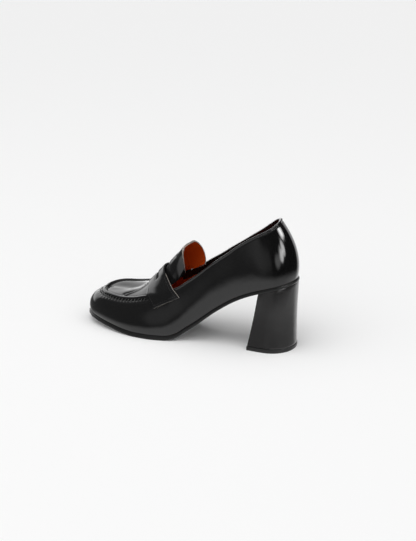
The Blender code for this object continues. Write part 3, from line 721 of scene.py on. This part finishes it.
def heel_section(height_share):
    """Plan loop of the heel: flat breast, straight sides and a round back."""
    back_top = -TOE_X - HEEL_SETBACK
    breast_top = back_top - HEEL_LENGTH + BREAST_SLOPE
    breast = breast_top - BREAST_SLOPE * (1 - height_share)
    waist = HEEL_WAIST * math.sin(math.pi * height_share)
    back = back_top - HEEL_BACK_WAIST * waist
    turn = np.linspace(0, math.pi / 2, HEEL_STEPS - BREAST_STEPS)
    along = np.concatenate([np.linspace(0, HEEL_STRAIGHT, BREAST_STEPS + 1)[:-1],
                            HEEL_STRAIGHT + (1 - HEEL_STRAIGHT) * np.sin(turn)])
    wide = np.concatenate([np.linspace(BREAST_WIDTH, 1, BREAST_STEPS + 1)[:-1],
                           np.cos(turn) ** HEEL_FULLNESS])
    x = breast + (back - breast) * along
    seat = np.abs(sole_edge("outer", turn_of(share_of(x)))[:, 1]) - SOLE_BEVEL - SEAT_MARGIN
    plain = (HEEL_WIDTH / 2 - waist) * wide
    blend = height_share ** SEAT_BLEND
    half = (1 - blend) * plain + blend * np.minimum(seat, plain)
    half[-1] = 0
    outer = np.stack([x, -half], -1)
    inner = np.stack([x, half], -1)[::-1][1:]
    return np.concatenate([outer, inner])


def add_piece(name, points, faces, materials, picks=None, replaced=(), slot="upper_leather",
              angle=60):
    """A smooth-shaded mesh that rides on the shoe, with a material picked for each face."""
    mesh = bpy.data.meshes.new(name)
    mesh.from_pydata(np.asarray(points).tolist(), [], faces)
    for material in materials:
        mesh.materials.append(material)
    if picks is not None:
        mesh.polygons.foreach_set("material_index", np.asarray(picks, np.int32))
    mesh.shade_smooth()
    mesh.set_sharp_from_angle(angle=math.radians(angle))
    item = bpy.data.objects.new(name, mesh)
    bpy.context.scene.collection.objects.link(item)
    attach(item, "root")
    if replaced:
        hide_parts(*replaced)
    return item


def open_edges(faces):
    """Directed edges that belong to one face only."""
    ways = set()
    for face in faces:
        ways.update(zip(face, face[1:] + face[:1]))
    return [(i, j) for i, j in ways if (j, i) not in ways]


def shell(name, outer, inner, faces, materials, picks=(0, 0, 0), **kept):
    """A leather part between an outer and an inner skin: picks are outside, inside and edge."""
    count = len(outer)
    rims = [(j, i, count + i, count + j) for i, j in open_edges(faces)]
    inside = [tuple(count + i for i in reversed(face)) for face in faces]
    chosen = [np.broadcast_to(pick, len(part)) for pick, part in zip(picks, (faces, inside, rims))]
    return add_piece(name, np.concatenate([outer, inner]), list(faces) + inside + rims, materials,
                     np.concatenate(chosen), **kept)


def feed(tree, target, inputs):
    """Sets the inputs of a node to values, or links them to the outputs that feed them."""
    for key, value in inputs.items():
        if isinstance(value, bpy.types.NodeSocket):
            tree.links.new(value, target.inputs[key])
        else:
            target.inputs[key].default_value = value


def node(tree, kind, inputs=None, **settings):
    """A shader node with its settings and inputs."""
    made = tree.nodes.new("ShaderNode" + kind)
    for key, value in settings.items():
        setattr(made, key, value)
    feed(tree, made, inputs or {})
    return made


def add_material(name, color, roughness, spread=0.0, grain=0.0, grain_size=0.0009, waves=0.0,
                 shade=None, specular=0.5):
    """Leather, edge or rubber: colour and gloss that wander, long waves and a fine grain."""
    material = bpy.data.materials.new(name)
    material.use_nodes = True
    tree = material.node_tree
    place = node(tree, "TexCoord").outputs["Object"]
    linked = {}

    def noise(scale, detail, **more):
        inputs = {"Vector": place, "Scale": scale, "Detail": detail, **more}
        return node(tree, "TexNoise", inputs).outputs["Fac"]

    def bump(height, distance):
        inputs = {"Height": height, "Strength": 1.0, "Distance": distance, **under}
        return {"Normal": node(tree, "Bump", inputs).outputs["Normal"]}

    if shade is not None:
        spots = {"Factor": noise(SPOT_SCALE, 4.0, Roughness=0.6), "A": (*color, 1), "B": (*shade, 1)}
        linked["Base Color"] = node(tree, "Mix", spots, data_type="RGBA").outputs["Result"]
    if spread:
        level = node(tree, "MapRange", {
            "Value": noise(GLOSS_SCALE, 3.0), "To Min": max(roughness - spread, LEAST_ROUGHNESS),
            "To Max": roughness + spread})
        linked["Roughness"] = level.outputs["Result"]
    under = {}
    if waves:
        under = bump(noise(WAVE_SCALE, 2.0), waves)
    if grain:
        cells = node(tree, "TexVoronoi", {"Vector": place, "Scale": 1 / grain_size},
                     feature="SMOOTH_F1")
        under = bump(cells.outputs["Distance"], grain)
    shader = tree.nodes["Principled BSDF"]
    feed(tree, shader, {"Base Color": (*color, 1), "Roughness": roughness,
                        "Specular IOR Level": specular})
    feed(tree, shader, {**linked, **under})
    return material


LEATHER_BLACK = add_material("black_box_leather", (0.0032, 0.0032, 0.0033), 0.10, spread=0.035,
                             grain=0.000010, waves=0.00016)
LEATHER_CUT = add_material("cut_edge", (0.36, 0.33, 0.30), 0.60, shade=(0.18, 0.16, 0.14),
                           grain=0.00003, grain_size=0.0004)
# Black edge paint on the upper's rims; on the strap's edge over the instep the same black is painted
# shade
EDGE_BLACK = add_material("edge_paint_and_painted_shade", (0.012, 0.012, 0.012), 0.30, spread=0.08)
LINING_TAN = add_material("tan_lining", (0.47, 0.060, 0.0025), 0.60, shade=(0.37, 0.038, 0.0015),
                          grain=0.00002, grain_size=0.0007, specular=0.12)
FACING_BLACK = add_material("black_facing", (0.004, 0.004, 0.004), 0.20, spread=0.05,
                            grain=0.00001)
THREAD_BLACK = add_material("black_thread", (0.012, 0.012, 0.012), 0.45)
SOLE_BLACK = add_material("sole_edge_black", (0.006, 0.006, 0.006), 0.30, spread=0.07,
                          waves=0.00005, specular=0.4)
# Painted shade: a darker, matt black for the tongue just behind the strap, where the strap shades it
TONGUE_PAINTED_SHADE = add_material("tongue_painted_shade", (0.0020, 0.0020, 0.0020), 0.5, spread=0.06,
                           grain=0.00002, specular=0.12)
HEEL_BLACK = add_material("heel_black", (0.0135, 0.0130, 0.0130), 0.24, spread=0.05,
                          waves=0.00012, grain=0.000006)
RUBBER_BLACK = add_material("top_piece_rubber", (0.012, 0.012, 0.012), 0.50, grain=0.00003,
                            grain_size=0.0006, specular=0.35)


def bell(distance, width):
    """A soft ridge of a given half width."""
    return np.exp(-(distance / width) ** 2)


def ramp(low, high, value):
    """Rises softly from 0 at low to 1 at high."""
    t = np.clip((value - low) / (high - low), 0, 1)
    return t * t * (3 - 2 * t)


def ridge(distance, height, place, width):
    """A soft ridge or groove beside a line."""
    return height * bell(distance - place, width)


def rounding(distance, reach):
    """Share that a rounded edge has dropped, from 1 at the edge to 0."""
    t = 1 - np.clip(distance / reach, 0, 1)
    return 1 - np.sqrt(np.clip(1 - t * t, 0, 1))


def line_distance(points, line):
    """Distance of points to a polyline, the share along it, and on which side in plan."""
    best = np.full(len(points), 1e9)
    share = np.zeros(len(points))
    side = np.zeros(len(points))
    lengths = run_length(line)
    for a, b, start in zip(line[:-1], line[1:], lengths[:-1]):
        way = b - a
        t = np.clip((points - a) @ way / (way @ way), 0, 1)
        gap = points - (a + t[:, None] * way)
        distance = np.linalg.norm(gap, axis=1)
        closer = distance < best
        best[closer] = distance[closer]
        share[closer] = (start + t[closer] * np.linalg.norm(way)) / lengths[-1]
        side[closer] = np.sign(way[0] * gap[closer, 1] - way[1] * gap[closer, 0])
    return best, share, side


class Upper:
    """Skins of the upper at a fine step, with what each point needs for its detail."""

    def __init__(self):
        self.sections = sections = wall_sections()
        top = sections[3]
        self.count = count = len(top)
        tries = np.linspace(0, 1, WALL_SAMPLES)
        tracks = np.stack([wall_point(sections, np.full((count, 1), t))[0] for t in tries])
        steps = np.linalg.norm(np.diff(tracks, axis=0), axis=2)
        lengths = np.concatenate([np.zeros((1, count)), np.cumsum(steps, axis=0)])
        whole = lengths[-1]
        targets = [(whole - NEAR_ROWS[0]) * row / WALL_ROWS for row in range(WALL_ROWS)]
        targets += [whole - depth for depth in NEAR_ROWS]
        rows = []
        for target in targets:
            share = np.array([np.interp(target[i], lengths[:, i], tries) for i in range(count)])
            rows.append(wall_point(sections, share[:, None])[0])
        self.rows = len(rows)
        self.wall_size = self.rows * count
        self.last = self.wall_size - count
        self.faces = grid_faces(self.rows, count, True)
        run = run_length(top)
        total = run[-1] + np.linalg.norm(top[0] - top[-1])
        self.run = np.where(np.arange(count) <= count // 2, run, run - total)
        self.throat_run = (run[VAMP_STEPS], run[count - VAMP_STEPS] - total)
        self.base = np.concatenate(rows + self.plug_rows(sections))
        plain = np.zeros(len(self.base) - self.wall_size)
        self.depth = np.concatenate([whole - target for target in targets] + [plain])
        self.along = np.concatenate([np.tile(self.run, self.rows), plain])
        seam = np.concatenate([top[VAMP_STEPS:0:-1], top[[0]], top[-1:-VAMP_STEPS - 1:-1]])
        self.plug_gap, share, _ = line_distance(self.base[self.wall_size:], seam)
        lengths = run_length(seam)
        self.plug_run = share * lengths[-1] - lengths[VAMP_STEPS]
        self.normals = vertex_normals(self.base, self.faces)

    def plug_rows(self, sections):
        """Rows of points across the plug, whose faces are added to the wall's."""
        rows = []
        previous = None
        start = self.wall_size
        even = np.linspace(-1, 1, PLUG_SAMPLES)
        for i, section in enumerate(plug_sections(sections), start=1):
            length = run_length(arch(*section, even))
            edge = min(PLUG_EDGE_BAND[0], PLUG_EDGE_BAND[1] * length[-1])
            first = edge * np.arange(1, PLUG_EDGE_STEPS + 1) / PLUG_EDGE_STEPS
            middle = np.linspace(edge, length[-1] - edge, PLUG_MIDDLE_STEPS + 1)[1:-1]
            wanted = np.concatenate([first, middle, length[-1] - first[::-1]])
            rows.append(arch(*section, np.interp(wanted, length, even)))
            own = range(start, start + len(wanted))
            indices = [self.last + i, *own, self.last + self.count - i]
            if previous is None:
                self.faces += [(self.last, a, b) for a, b in zip(indices[:-1], indices[1:])]
            else:
                self.faces += [(previous[k], indices[k], indices[k + 1], previous[k + 1])
                               for k in range(len(indices) - 1)]
            previous = indices
            start += len(wanted)
        return rows


upper = Upper()


def seam_form(across):
    """Height of the rolled seam by the distance across it, minus toward the sole."""
    share = np.clip(1 - (across / SEAM_HALF_WIDTH) ** 2, 0, 1)
    return SEAM_RISE * share ** SEAM_FULLNESS - sum(ridge(across, *g) for g in SEAM_GROOVES)


def throat_reach(along):
    """Length from the toe to the throat on the side where a point lies."""
    return np.where(along > 0, upper.throat_run[0], -upper.throat_run[1])


def crease_form(crease, place):
    """Height of one crease of the plug, a ridge with a trough beside it."""
    line = np.array(crease["line"])
    flat = np.column_stack([place[:, :2], np.zeros(len(place))])
    distance, share, side = line_distance(flat, np.column_stack([line, np.zeros(len(line))]))
    ends = ramp(0, crease["ease"], share) * (1 - ramp(1 - crease["ease"], 1, share))
    level = crease["start"] + (crease["end"] - crease["start"]) * share
    form = crease["ridge"] * bell(distance, crease["width"])
    form = form - ridge(side * distance, crease["trough"], crease["offset"], crease["trough_width"])
    return level * ends * form


def upper_detail():
    """How far each point of the outer skin stands from the plain form."""
    size = upper.wall_size
    lift = np.zeros(len(upper.base))
    run, depth = upper.along[:size], upper.depth[:size]
    vamp = 1 - ramp(-SEAM_FADE, 0.0, np.abs(run) - throat_reach(run) + SEAM_STOP)
    lift[:size] += vamp * seam_form(-depth)
    beat = 0.5 + 0.5 * np.cos(2 * math.pi * run / GATHER_PITCH)
    pucker = ramp(*GATHER_BAND[:2], depth) * (1 - ramp(*GATHER_BAND[2:], depth))
    lift[:size] -= vamp * GATHER_DEPTH * beat * pucker
    bead = ridge(depth, *COLLAR_BEAD) - ridge(depth, *COLLAR_GROOVE)
    lift[:size] += (1 - vamp) * (bead - EDGE_ROUND * rounding(depth, EDGE_ROUND))
    gap, run = upper.plug_gap, upper.plug_run
    fade = 1 - ramp(-SEAM_FADE, 0.0, np.abs(run) - 0.5 * np.ptp(run) + PLUG_SEAM_STOP)
    lift[size:] += fade * seam_form(gap)
    for crease in CREASES:
        lift[size:] += crease_form(crease, upper.base[size:]) * ramp(*CREASE_FADE, gap)
    return lift


def build_upper():
    """The leather, and its lining with the black facing inside the collar."""
    outer = upper.base + upper_detail()[:, None] * upper.normals
    shell("upper_leather", outer, upper.base - LEATHER * upper.normals, upper.faces,
          [LEATHER_BLACK, EDGE_BLACK], (0, 0, 1), replaced=("upper",))
    facing = upper.depth < FACING_DEPTH
    facing &= np.abs(upper.along) >= throat_reach(upper.along) - FACING_STOP
    facing[upper.wall_size:] = False
    inner = upper.base - (WALL + FACING_THICKNESS * facing[:, None]) * upper.normals
    low = inner[:upper.count]
    low[:, 2] = sole_top(low[:, 0]) + GAP
    inside = [int(facing[list(face)].all()) for face in upper.faces]
    rims = [int(facing[i]) for i, _ in open_edges(upper.faces)]
    shell("upper_lining", upper.base - (LEATHER + LINING_GAP) * upper.normals, inner, upper.faces,
          [LINING_TAN, FACING_BLACK], (0, inside, rims), slot="lining")
    return outer


def capsule(points, faces, start, end, normal, radius, sag):
    """Adds one stitch, a short thread that dives at both ends, to lists of points and faces."""
    way = end - start
    across = np.cross(normal, way)
    across /= np.linalg.norm(across)
    base = len(points)
    for t in np.linspace(0, 1, STITCH_RINGS):
        swell = math.sin(math.pi * (STITCH_DIVE + (1 - 2 * STITCH_DIVE) * t))
        middle = start + way * t + normal * (sag * (swell - STITCH_SWELL))
        size = radius * (1 - STITCH_SWELL + STITCH_SWELL * swell)
        for turn in np.arange(STITCH_SIDES) * 2 * math.pi / STITCH_SIDES:
            points.append(middle + size * (math.cos(turn) * across + math.sin(turn) * normal))
    rings = grid_faces(STITCH_RINGS, STITCH_SIDES, True)
    faces += [tuple(base + i for i in face) for face in rings]
    faces.append(tuple(base + s for s in reversed(range(STITCH_SIDES))))
    faces.append(tuple(base + (STITCH_RINGS - 1) * STITCH_SIDES + s for s in range(STITCH_SIDES)))


def build_stitches(outer):
    """Threads over the seam's groove and along the collar."""
    grid, normals, depth = [part[:upper.wall_size].reshape(upper.rows, upper.count, -1)
                            for part in (outer, upper.normals, upper.depth)]

    def at(length, below):
        i = int(np.argmin(np.abs(upper.run - length)))
        j = int(np.argmin(np.abs(depth[:, i, 0] - below)))
        return grid[j, i], normals[j, i]

    def sew(name, spans, pitch, half, low, high, thickness, sag):
        points, faces = [], []
        for sign, length, limit in spans:
            while length < limit:
                start, normal = at(sign * (length - half), low)
                end, _ = at(sign * (length + half), high)
                if np.linalg.norm(end - start) > LEAST_STITCH:
                    capsule(points, faces, start, end, normal, THREAD * thickness, sag)
                length += pitch
        add_piece(name, points, faces, [THREAD_BLACK])

    outer_throat, inner_throat = upper.throat_run
    sew("seam_stitches", [(1, inner_throat + SEAM_STITCH_STOP, outer_throat - SEAM_STITCH_STOP)],
        *SEAM_STITCH)
    first, last = COLLAR_STITCH_STOPS
    half = upper.count // 2
    sew("collar_stitches", [(1, abs(outer_throat) + first, abs(upper.run[half]) - last),
                            (-1, abs(inner_throat) + first, abs(upper.run[half + 1]) - last)],
        *COLLAR_STITCH)


def build_tongue():
    """Black leather over tan lining, both cut at one pale edge, with painted shade on the leather
    just behind the strap.
    """
    plain = np.concatenate(tongue_rows(upper.sections, TONGUE_ACROSS))
    faces = [tuple(reversed(face)) for face in grid_faces(TONGUE_ROWS, TONGUE_ACROSS, False)]
    normals = vertex_normals(plain, faces)
    row = np.repeat(np.linspace(0, 1, TONGUE_ROWS), TONGUE_ACROSS)
    across = np.tile(np.linspace(-1, 1, TONGUE_ACROSS), TONGUE_ROWS)
    behind = (plain - crown_point(STRAP_ALONG)) @ INSTEP_STEP - STRAP_WIDTH / 2
    behind = behind / RECESS_LENGTH
    flare = TONGUE_FLARE * ramp(*FLARE_ROWS, row) * bell(across - FLARE_PLACE, FLARE_WIDTH)
    recess = RECESS_DEPTH * ramp(*RECESS_START, behind) * (1 - ramp(*RECESS_END, behind))
    recess *= 1 - ramp(*RECESS_SIDES, np.abs(across))
    points = plain + (flare - recess)[:, None] * normals
    points[:, 2] -= FAR_EDGE_DROP * ramp(*FAR_EDGE_SIDE, across) * ramp(*FAR_EDGE_ROWS, row)
    normals = vertex_normals(points, faces)
    split = points - TONGUE_LEATHER * normals
    # Faces of the tongue just behind the strap get the painted shade
    painted_shade = [2 * int(np.mean([behind[i] for i in face]) < SHADE_PAINTED_UNTIL) for face in faces]
    shell("tongue_leather", points, split, faces, [LEATHER_BLACK, LEATHER_CUT, TONGUE_PAINTED_SHADE],
          (painted_shade, 1, 1), replaced=("tongue",))
    shell("tongue_lining", split - TONGUE_GAP * normals, points - TONGUE_THICKNESS * normals, faces,
          [LINING_TAN, LEATHER_CUT], (0, 0, 1), slot="lining")
    return plain, faces


def soft_form(bodies):
    """The strap's form with its taut lines eased where they touch and leave the leather."""
    form = StrapForm(bodies)
    lines = np.array(form.lines)
    kernel = np.array(STRAP_EASING) / sum(STRAP_EASING)
    half = len(kernel) // 2
    padded = np.pad(lines, ((0, 0), (0, 0), (half, half)), mode="edge")
    soft = sum(part * padded[:, :, i:i + lines.shape[2]] for i, part in enumerate(kernel))
    ends = np.abs(form.lengths) > STRAP_REACH - STRAP_EASED_TO
    form.lines = np.where(ends, lines, soft)
    return form


def strap_spot(form, share, length_share):
    """A point of the strap's form, its outward way and its length, by shares from -1 to 1."""
    sign = 1 if length_share >= 0 else -1
    end_place = share * STRAP_END_WIDTH / 2 + STRAP_LEAN
    reach = form.end(end_place, sign)
    length = reach * abs(length_share)
    place = share * STRAP_WIDTH / 2
    place += (end_place - place) * ramp(SLOT_LENGTH / 2, reach, length)
    point, normal = form.point(place, sign * length)
    return point, normal, sign * length


def build_strap(bodies):
    """Saddle strap with a slot and cut edges that are painted black as shade over the instep and
    pale beside it.
    """
    form = soft_form(bodies)
    slot = SLOT_WIDTH / STRAP_WIDTH
    half = np.array([slot, *STRAP_ROWS])
    wide = np.concatenate([-half[::-1], half])
    ease = np.array(STRAP_END_ROWS)
    plain = np.linspace(-STRAP_PLAIN, STRAP_PLAIN, STRAP_COLUMNS)
    long = np.concatenate([[-1], -1 + ease, plain, 1 - ease[::-1], [1]])
    outer, inner, lengths = [], [], []
    for share in wide:
        for length_share in long:
            point, normal, length = strap_spot(form, share, length_share)
            length = abs(length)
            edge = min((1 - abs(share)) * STRAP_WIDTH / 2,
                       (1 - abs(length_share)) * STRAP_HALF_LENGTH)
            if length < SLOT_LENGTH / 2 + SLOT_EDGE:
                edge = min(edge, abs(abs(share) - slot) * STRAP_WIDTH / 2)
            height = STRAP_THICKNESS + STRAP_GAP + STRAP_SWELL * (1 - share * share)
            height -= STRAP_EDGE_DROP * rounding(edge, STRAP_EDGE_ROUND)
            if length > LINE_FROM:
                height -= ridge(edge, LINE_DEPTH, LINE_INSET, LINE_WIDTH)
            outer.append(point + height * normal)
            inner.append(point + STRAP_GAP * normal)
            lengths.append(length)
    count = len(long)
    middle = (len(wide) // 2 - 1) * count
    faces = [tuple(reversed(face)) for face in grid_faces(len(wide), count, False)
             if not (middle <= face[0] < middle + count
                     and max(lengths[i] for i in face) < SLOT_LENGTH / 2)]
    # Edge faces near the strap's middle are painted black as shade; farther out the cut edge is pale
    rims = [2 if lengths[j] < PALE_EDGE_FROM else 1 for _, j in open_edges(faces)]
    shell("saddle_strap_leather", np.array(outer), np.array(inner), faces,
          [LEATHER_BLACK, LEATHER_CUT, EDGE_BLACK], (0, 0, rims), replaced=("saddle_strap",))
    build_backing(form)
    build_strap_stitches(form)


def build_backing(form):
    """Dark leather behind the strap's slot."""
    shares, length_shares = [np.linspace(-cover, cover, count)
                             for cover, count in zip(BACKING_COVER, BACKING_GRID)]
    spots = [strap_spot(form, share, along)[:2] for share in shares for along in length_shares]
    points, normals = np.array(spots).transpose(1, 0, 2)
    outer, inner = [points + height * normals for height in BACKING_FACES]
    faces = [tuple(reversed(face)) for face in grid_faces(*BACKING_GRID, False)]
    shell("strap_backing", outer, inner, faces, [FACING_BLACK])


def build_strap_stitches(form):
    """A line of stitches round each half of the strap."""
    points, faces = [], []
    inset = 1 - LINE_INSET / (STRAP_WIDTH / 2)
    near, far = LINE_REACH
    for sign in (-1, 1):
        route = [(-inset, sign * t) for t in np.linspace(near, far, LINE_SAMPLES)]
        route += [(share, sign * far) for share in np.linspace(-inset, inset, LINE_SAMPLES)[1:]]
        route += [(inset, sign * t) for t in np.linspace(far, near, LINE_SAMPLES)[1:]]
        spots = np.array([strap_spot(form, *spot)[:2] for spot in route])
        spots, normals = spots.transpose(1, 0, 2)
        line = spots + (STRAP_THICKNESS + LINE_HEIGHT) * normals
        run = run_length(line)
        length = LINE_STOPS[0]
        while length < run[-1] - LINE_STOPS[1]:
            start, end = [np.array([np.interp(length + d, run, line[:, k]) for k in range(3)])
                          for d in (0, LINE_STITCH)]
            normal = normals[int(np.argmin(np.abs(run - length)))]
            capsule(points, faces, start, end, normal, *LINE_THREAD)
            length += LINE_PITCH
    add_piece("strap_stitches", points, faces, [THREAD_BLACK])


def loop_solid(name, loops, material, shift, **kept):
    """A solid from closed loops, low to high; strips close its ends, from a point to its mirror."""
    count = len(loops[0])
    faces = grid_faces(len(loops), count, True)
    top = (len(loops) - 1) * count
    for k in range(count // 2):
        strip = [i % count for i in (k, shift - k, shift - 1 - k, k + 1)]
        strip = [i for n, i in enumerate(strip) if i not in strip[:n]]
        faces.append(tuple(strip))
        faces.append(tuple(top + i for i in reversed(strip)))
    return add_piece(name, np.concatenate(loops), faces, [material], **kept)


def build_outsole():
    """The sole with its bevelled foot, rounded edge and the step under the upper."""
    loops = []
    for share, inset in OUTSOLE_ROWS:
        loop = plan_loop(OUTSOLE_STEPS, inset)
        base = sole_bottom(loop[:, 0])
        loops.append(lifted(loop, base + share * (sole_top(loop[:, 0]) - base)))
    loop_solid("outsole_fine", loops, SOLE_BLACK, len(loop), replaced=("outsole",),
               slot="sole_edge", angle=50)


def build_insole():
    """The sock: tan leather, softly rounded at its edge."""
    inset = SOLE_LIP + WALL + 2 * GAP
    loops = []
    for share, more in INSOLE_ROWS:
        loop = plan_loop(INSOLE_STEPS, inset + more)
        loops.append(lifted(loop, sole_top(loop[:, 0]) + GAP + share * INSOLE_THICKNESS))
    loop_solid("insole_sock", loops, LINING_TAN, len(loop), replaced=("insole",), slot="lining")


def heel_plan(height_share, size):
    """Plan of the heel with its two breast corners rounded, drawn in to a share of its size."""
    plan = heel_section(height_share)
    way = (plan[1] - plan[0]) / np.linalg.norm(plan[1] - plan[0])
    bend = np.radians(CORNER_TURNS)[:, None]
    arc = plan[0] + HEEL_CORNER * ((1 - np.sin(bend)) * way + (1 - np.cos(bend)) * (0, 1.0))
    plan = np.concatenate([arc, plan[1:-1], arc[::-1] * (1, -1)])
    middle = plan.mean(axis=0)
    return middle + (plan - middle) * size


def build_heel():
    """Block heel and its top piece."""
    split = TOP_PIECE_THICKNESS / HEEL_HEIGHT
    loops = []
    for share in HEEL_ROWS:
        plan = heel_plan(split + (1 - split) * share, HEEL_END_SIZE if share in (0, 1) else 1.0)
        low = np.full(len(plan), TOP_PIECE_THICKNESS + GAP)
        high = sole_bottom(plan[:, 0]) - GAP
        loops.append(lifted(plan, low + (high - low) * share))
    loop_solid("heel_block_fine", loops, HEEL_BLACK, len(plan) - 1, replaced=("heel_block",),
               slot="heel", angle=35)
    plans = [(heel_plan(0, size), height) for height, size in TIP_ROWS]
    loops = [lifted(plan, np.full(len(plan), height)) for plan, height in plans]
    loop_solid("heel_tip", loops, RUBBER_BLACK, len(plan) - 1, replaced=("heel_top_piece",),
               slot="top_piece", angle=35)


def aim(azimuth, height):
    """Direction by its angle from the toe-to-heel axis and its height, in degrees."""
    turn, rise = math.radians(azimuth), math.radians(height)
    return math.cos(turn) * math.cos(rise), math.sin(turn) * math.cos(rise), math.sin(rise)


def reading(tree, place, way):
    """How far the sky direction goes along a way."""
    return node(tree, "VectorMath", {0: place, 1: way}, operation="DOT_PRODUCT").outputs["Value"]


def eased(tree, value, low, high, start, end):
    """Soft step of a value, from start at low to end at high."""
    inputs = {"Value": value, "From Min": low, "From Max": high, "To Min": start, "To Max": end}
    return node(tree, "MapRange", inputs, interpolation_type="SMOOTHSTEP").outputs["Result"]


def combined(tree, kind, first, second):
    """Sum or product of two shader values."""
    return node(tree, "Math", {0: first, 1: second}, operation=kind).outputs[0]


def build_room(tree, place):
    """Brightness of the studio as the gloss sees it: dim walls, pale table, window and lamps."""
    ahead = reading(tree, place, (1, 0, 0))
    room = eased(tree, ahead, *WALL_SPREAD, *WALL_LIGHT)
    table_top = eased(tree, reading(tree, place, TABLE_TILT), *TABLE_EDGE, 1, 0)
    paleness = eased(tree, ahead, *TABLE_SPREAD, *TABLE_LIGHT)
    room = combined(tree, "ADD", room, combined(tree, "MULTIPLY", table_top, paleness))
    window = WINDOW_LIGHT
    for azimuth, height, low, high in WINDOW_BORDERS:
        border = eased(tree, reading(tree, place, aim(azimuth, height)), low, high, 0, 1)
        window = combined(tree, "MULTIPLY", window, border)
    room = combined(tree, "ADD", room, window)
    for azimuth, height, full, spread, strength in LAMPS:
        outside, inside = [math.cos(math.radians(angle)) for angle in (spread, full)]
        glow = eased(tree, reading(tree, place, aim(azimuth, height)), outside, inside, 0, strength)
        room = combined(tree, "ADD", room, glow)
    return room


def build_light():
    """World light: a pale backdrop for the eye, a soft sky, and the studio for gloss alone."""
    world = bpy.data.worlds.new("studio")
    bpy.context.scene.world = world
    world.use_nodes = True
    tree = world.node_tree
    tree.nodes.clear()
    place = node(tree, "TexCoord").outputs["Generated"]
    sky = eased(tree, reading(tree, place, aim(*SKY_WAY)), 0, 1, *SKY_LIGHT)
    backdrop, soft, room = [
        node(tree, "Background", {"Color": (1, 1, 1, 1), "Strength": strength}).outputs[0]
        for strength in (BACKDROP_LIGHT, sky, build_room(tree, place))]
    rays = node(tree, "LightPath").outputs
    light = node(tree, "MixShader", {0: rays["Is Glossy Ray"], 1: soft, 2: room})
    light = node(tree, "MixShader",
                 {0: rays["Is Camera Ray"], 1: light.outputs[0], 2: backdrop})
    node(tree, "OutputWorld", {"Surface": light.outputs[0]})


def stand(name, data, place, back):
    """A lamp or a camera at a place, with its back to a direction."""
    item = bpy.data.objects.new(name, data)
    item.location = place
    item.rotation_mode = "QUATERNION"
    item.rotation_quaternion = (-Vector(back)).to_track_quat("-Z", "Y")
    bpy.context.scene.collection.objects.link(item)
    return item


def build_stage():
    """Pale floor, soft light from above, the studio that the gloss reflects, and the camera."""
    scene = bpy.context.scene
    mesh = bpy.data.meshes.new("floor")
    corners = [(x * FLOOR_HALF, y * FLOOR_HALF, 0) for x, y in ((-1, -1), (1, -1), (1, 1), (-1, 1))]
    mesh.from_pydata(corners, [], [(0, 1, 2, 3)])
    mesh.materials.append(add_material("pale_floor", FLOOR_PALE, 0.9, specular=0.0))
    floor = bpy.data.objects.new("floor", mesh)
    scene.collection.objects.link(floor)
    floor.visible_glossy = False
    build_light()
    scene.view_settings.view_transform = "Standard"
    scene.view_settings.look = "None"
    data = bpy.data.lights.new("softbox_top", "AREA")
    data.shape = "RECTANGLE"
    data.size, data.size_y = TOP_BOX_SIZE
    data.energy = TOP_BOX_POWER
    stand("softbox_top", data, TOP_BOX_PLACE, TOP_BOX_PLACE).visible_glossy = False
    data = bpy.data.cameras.new("camera")
    data.lens = CAMERA_LENS
    scene.camera = stand("camera", data, CAMERA_PLACE, aim(*VIEW_WAY))


build_stage()
skin = build_upper()
build_stitches(skin)
build_strap(((skin, upper.faces), build_tongue()))
build_outsole()
build_insole()
build_heel()
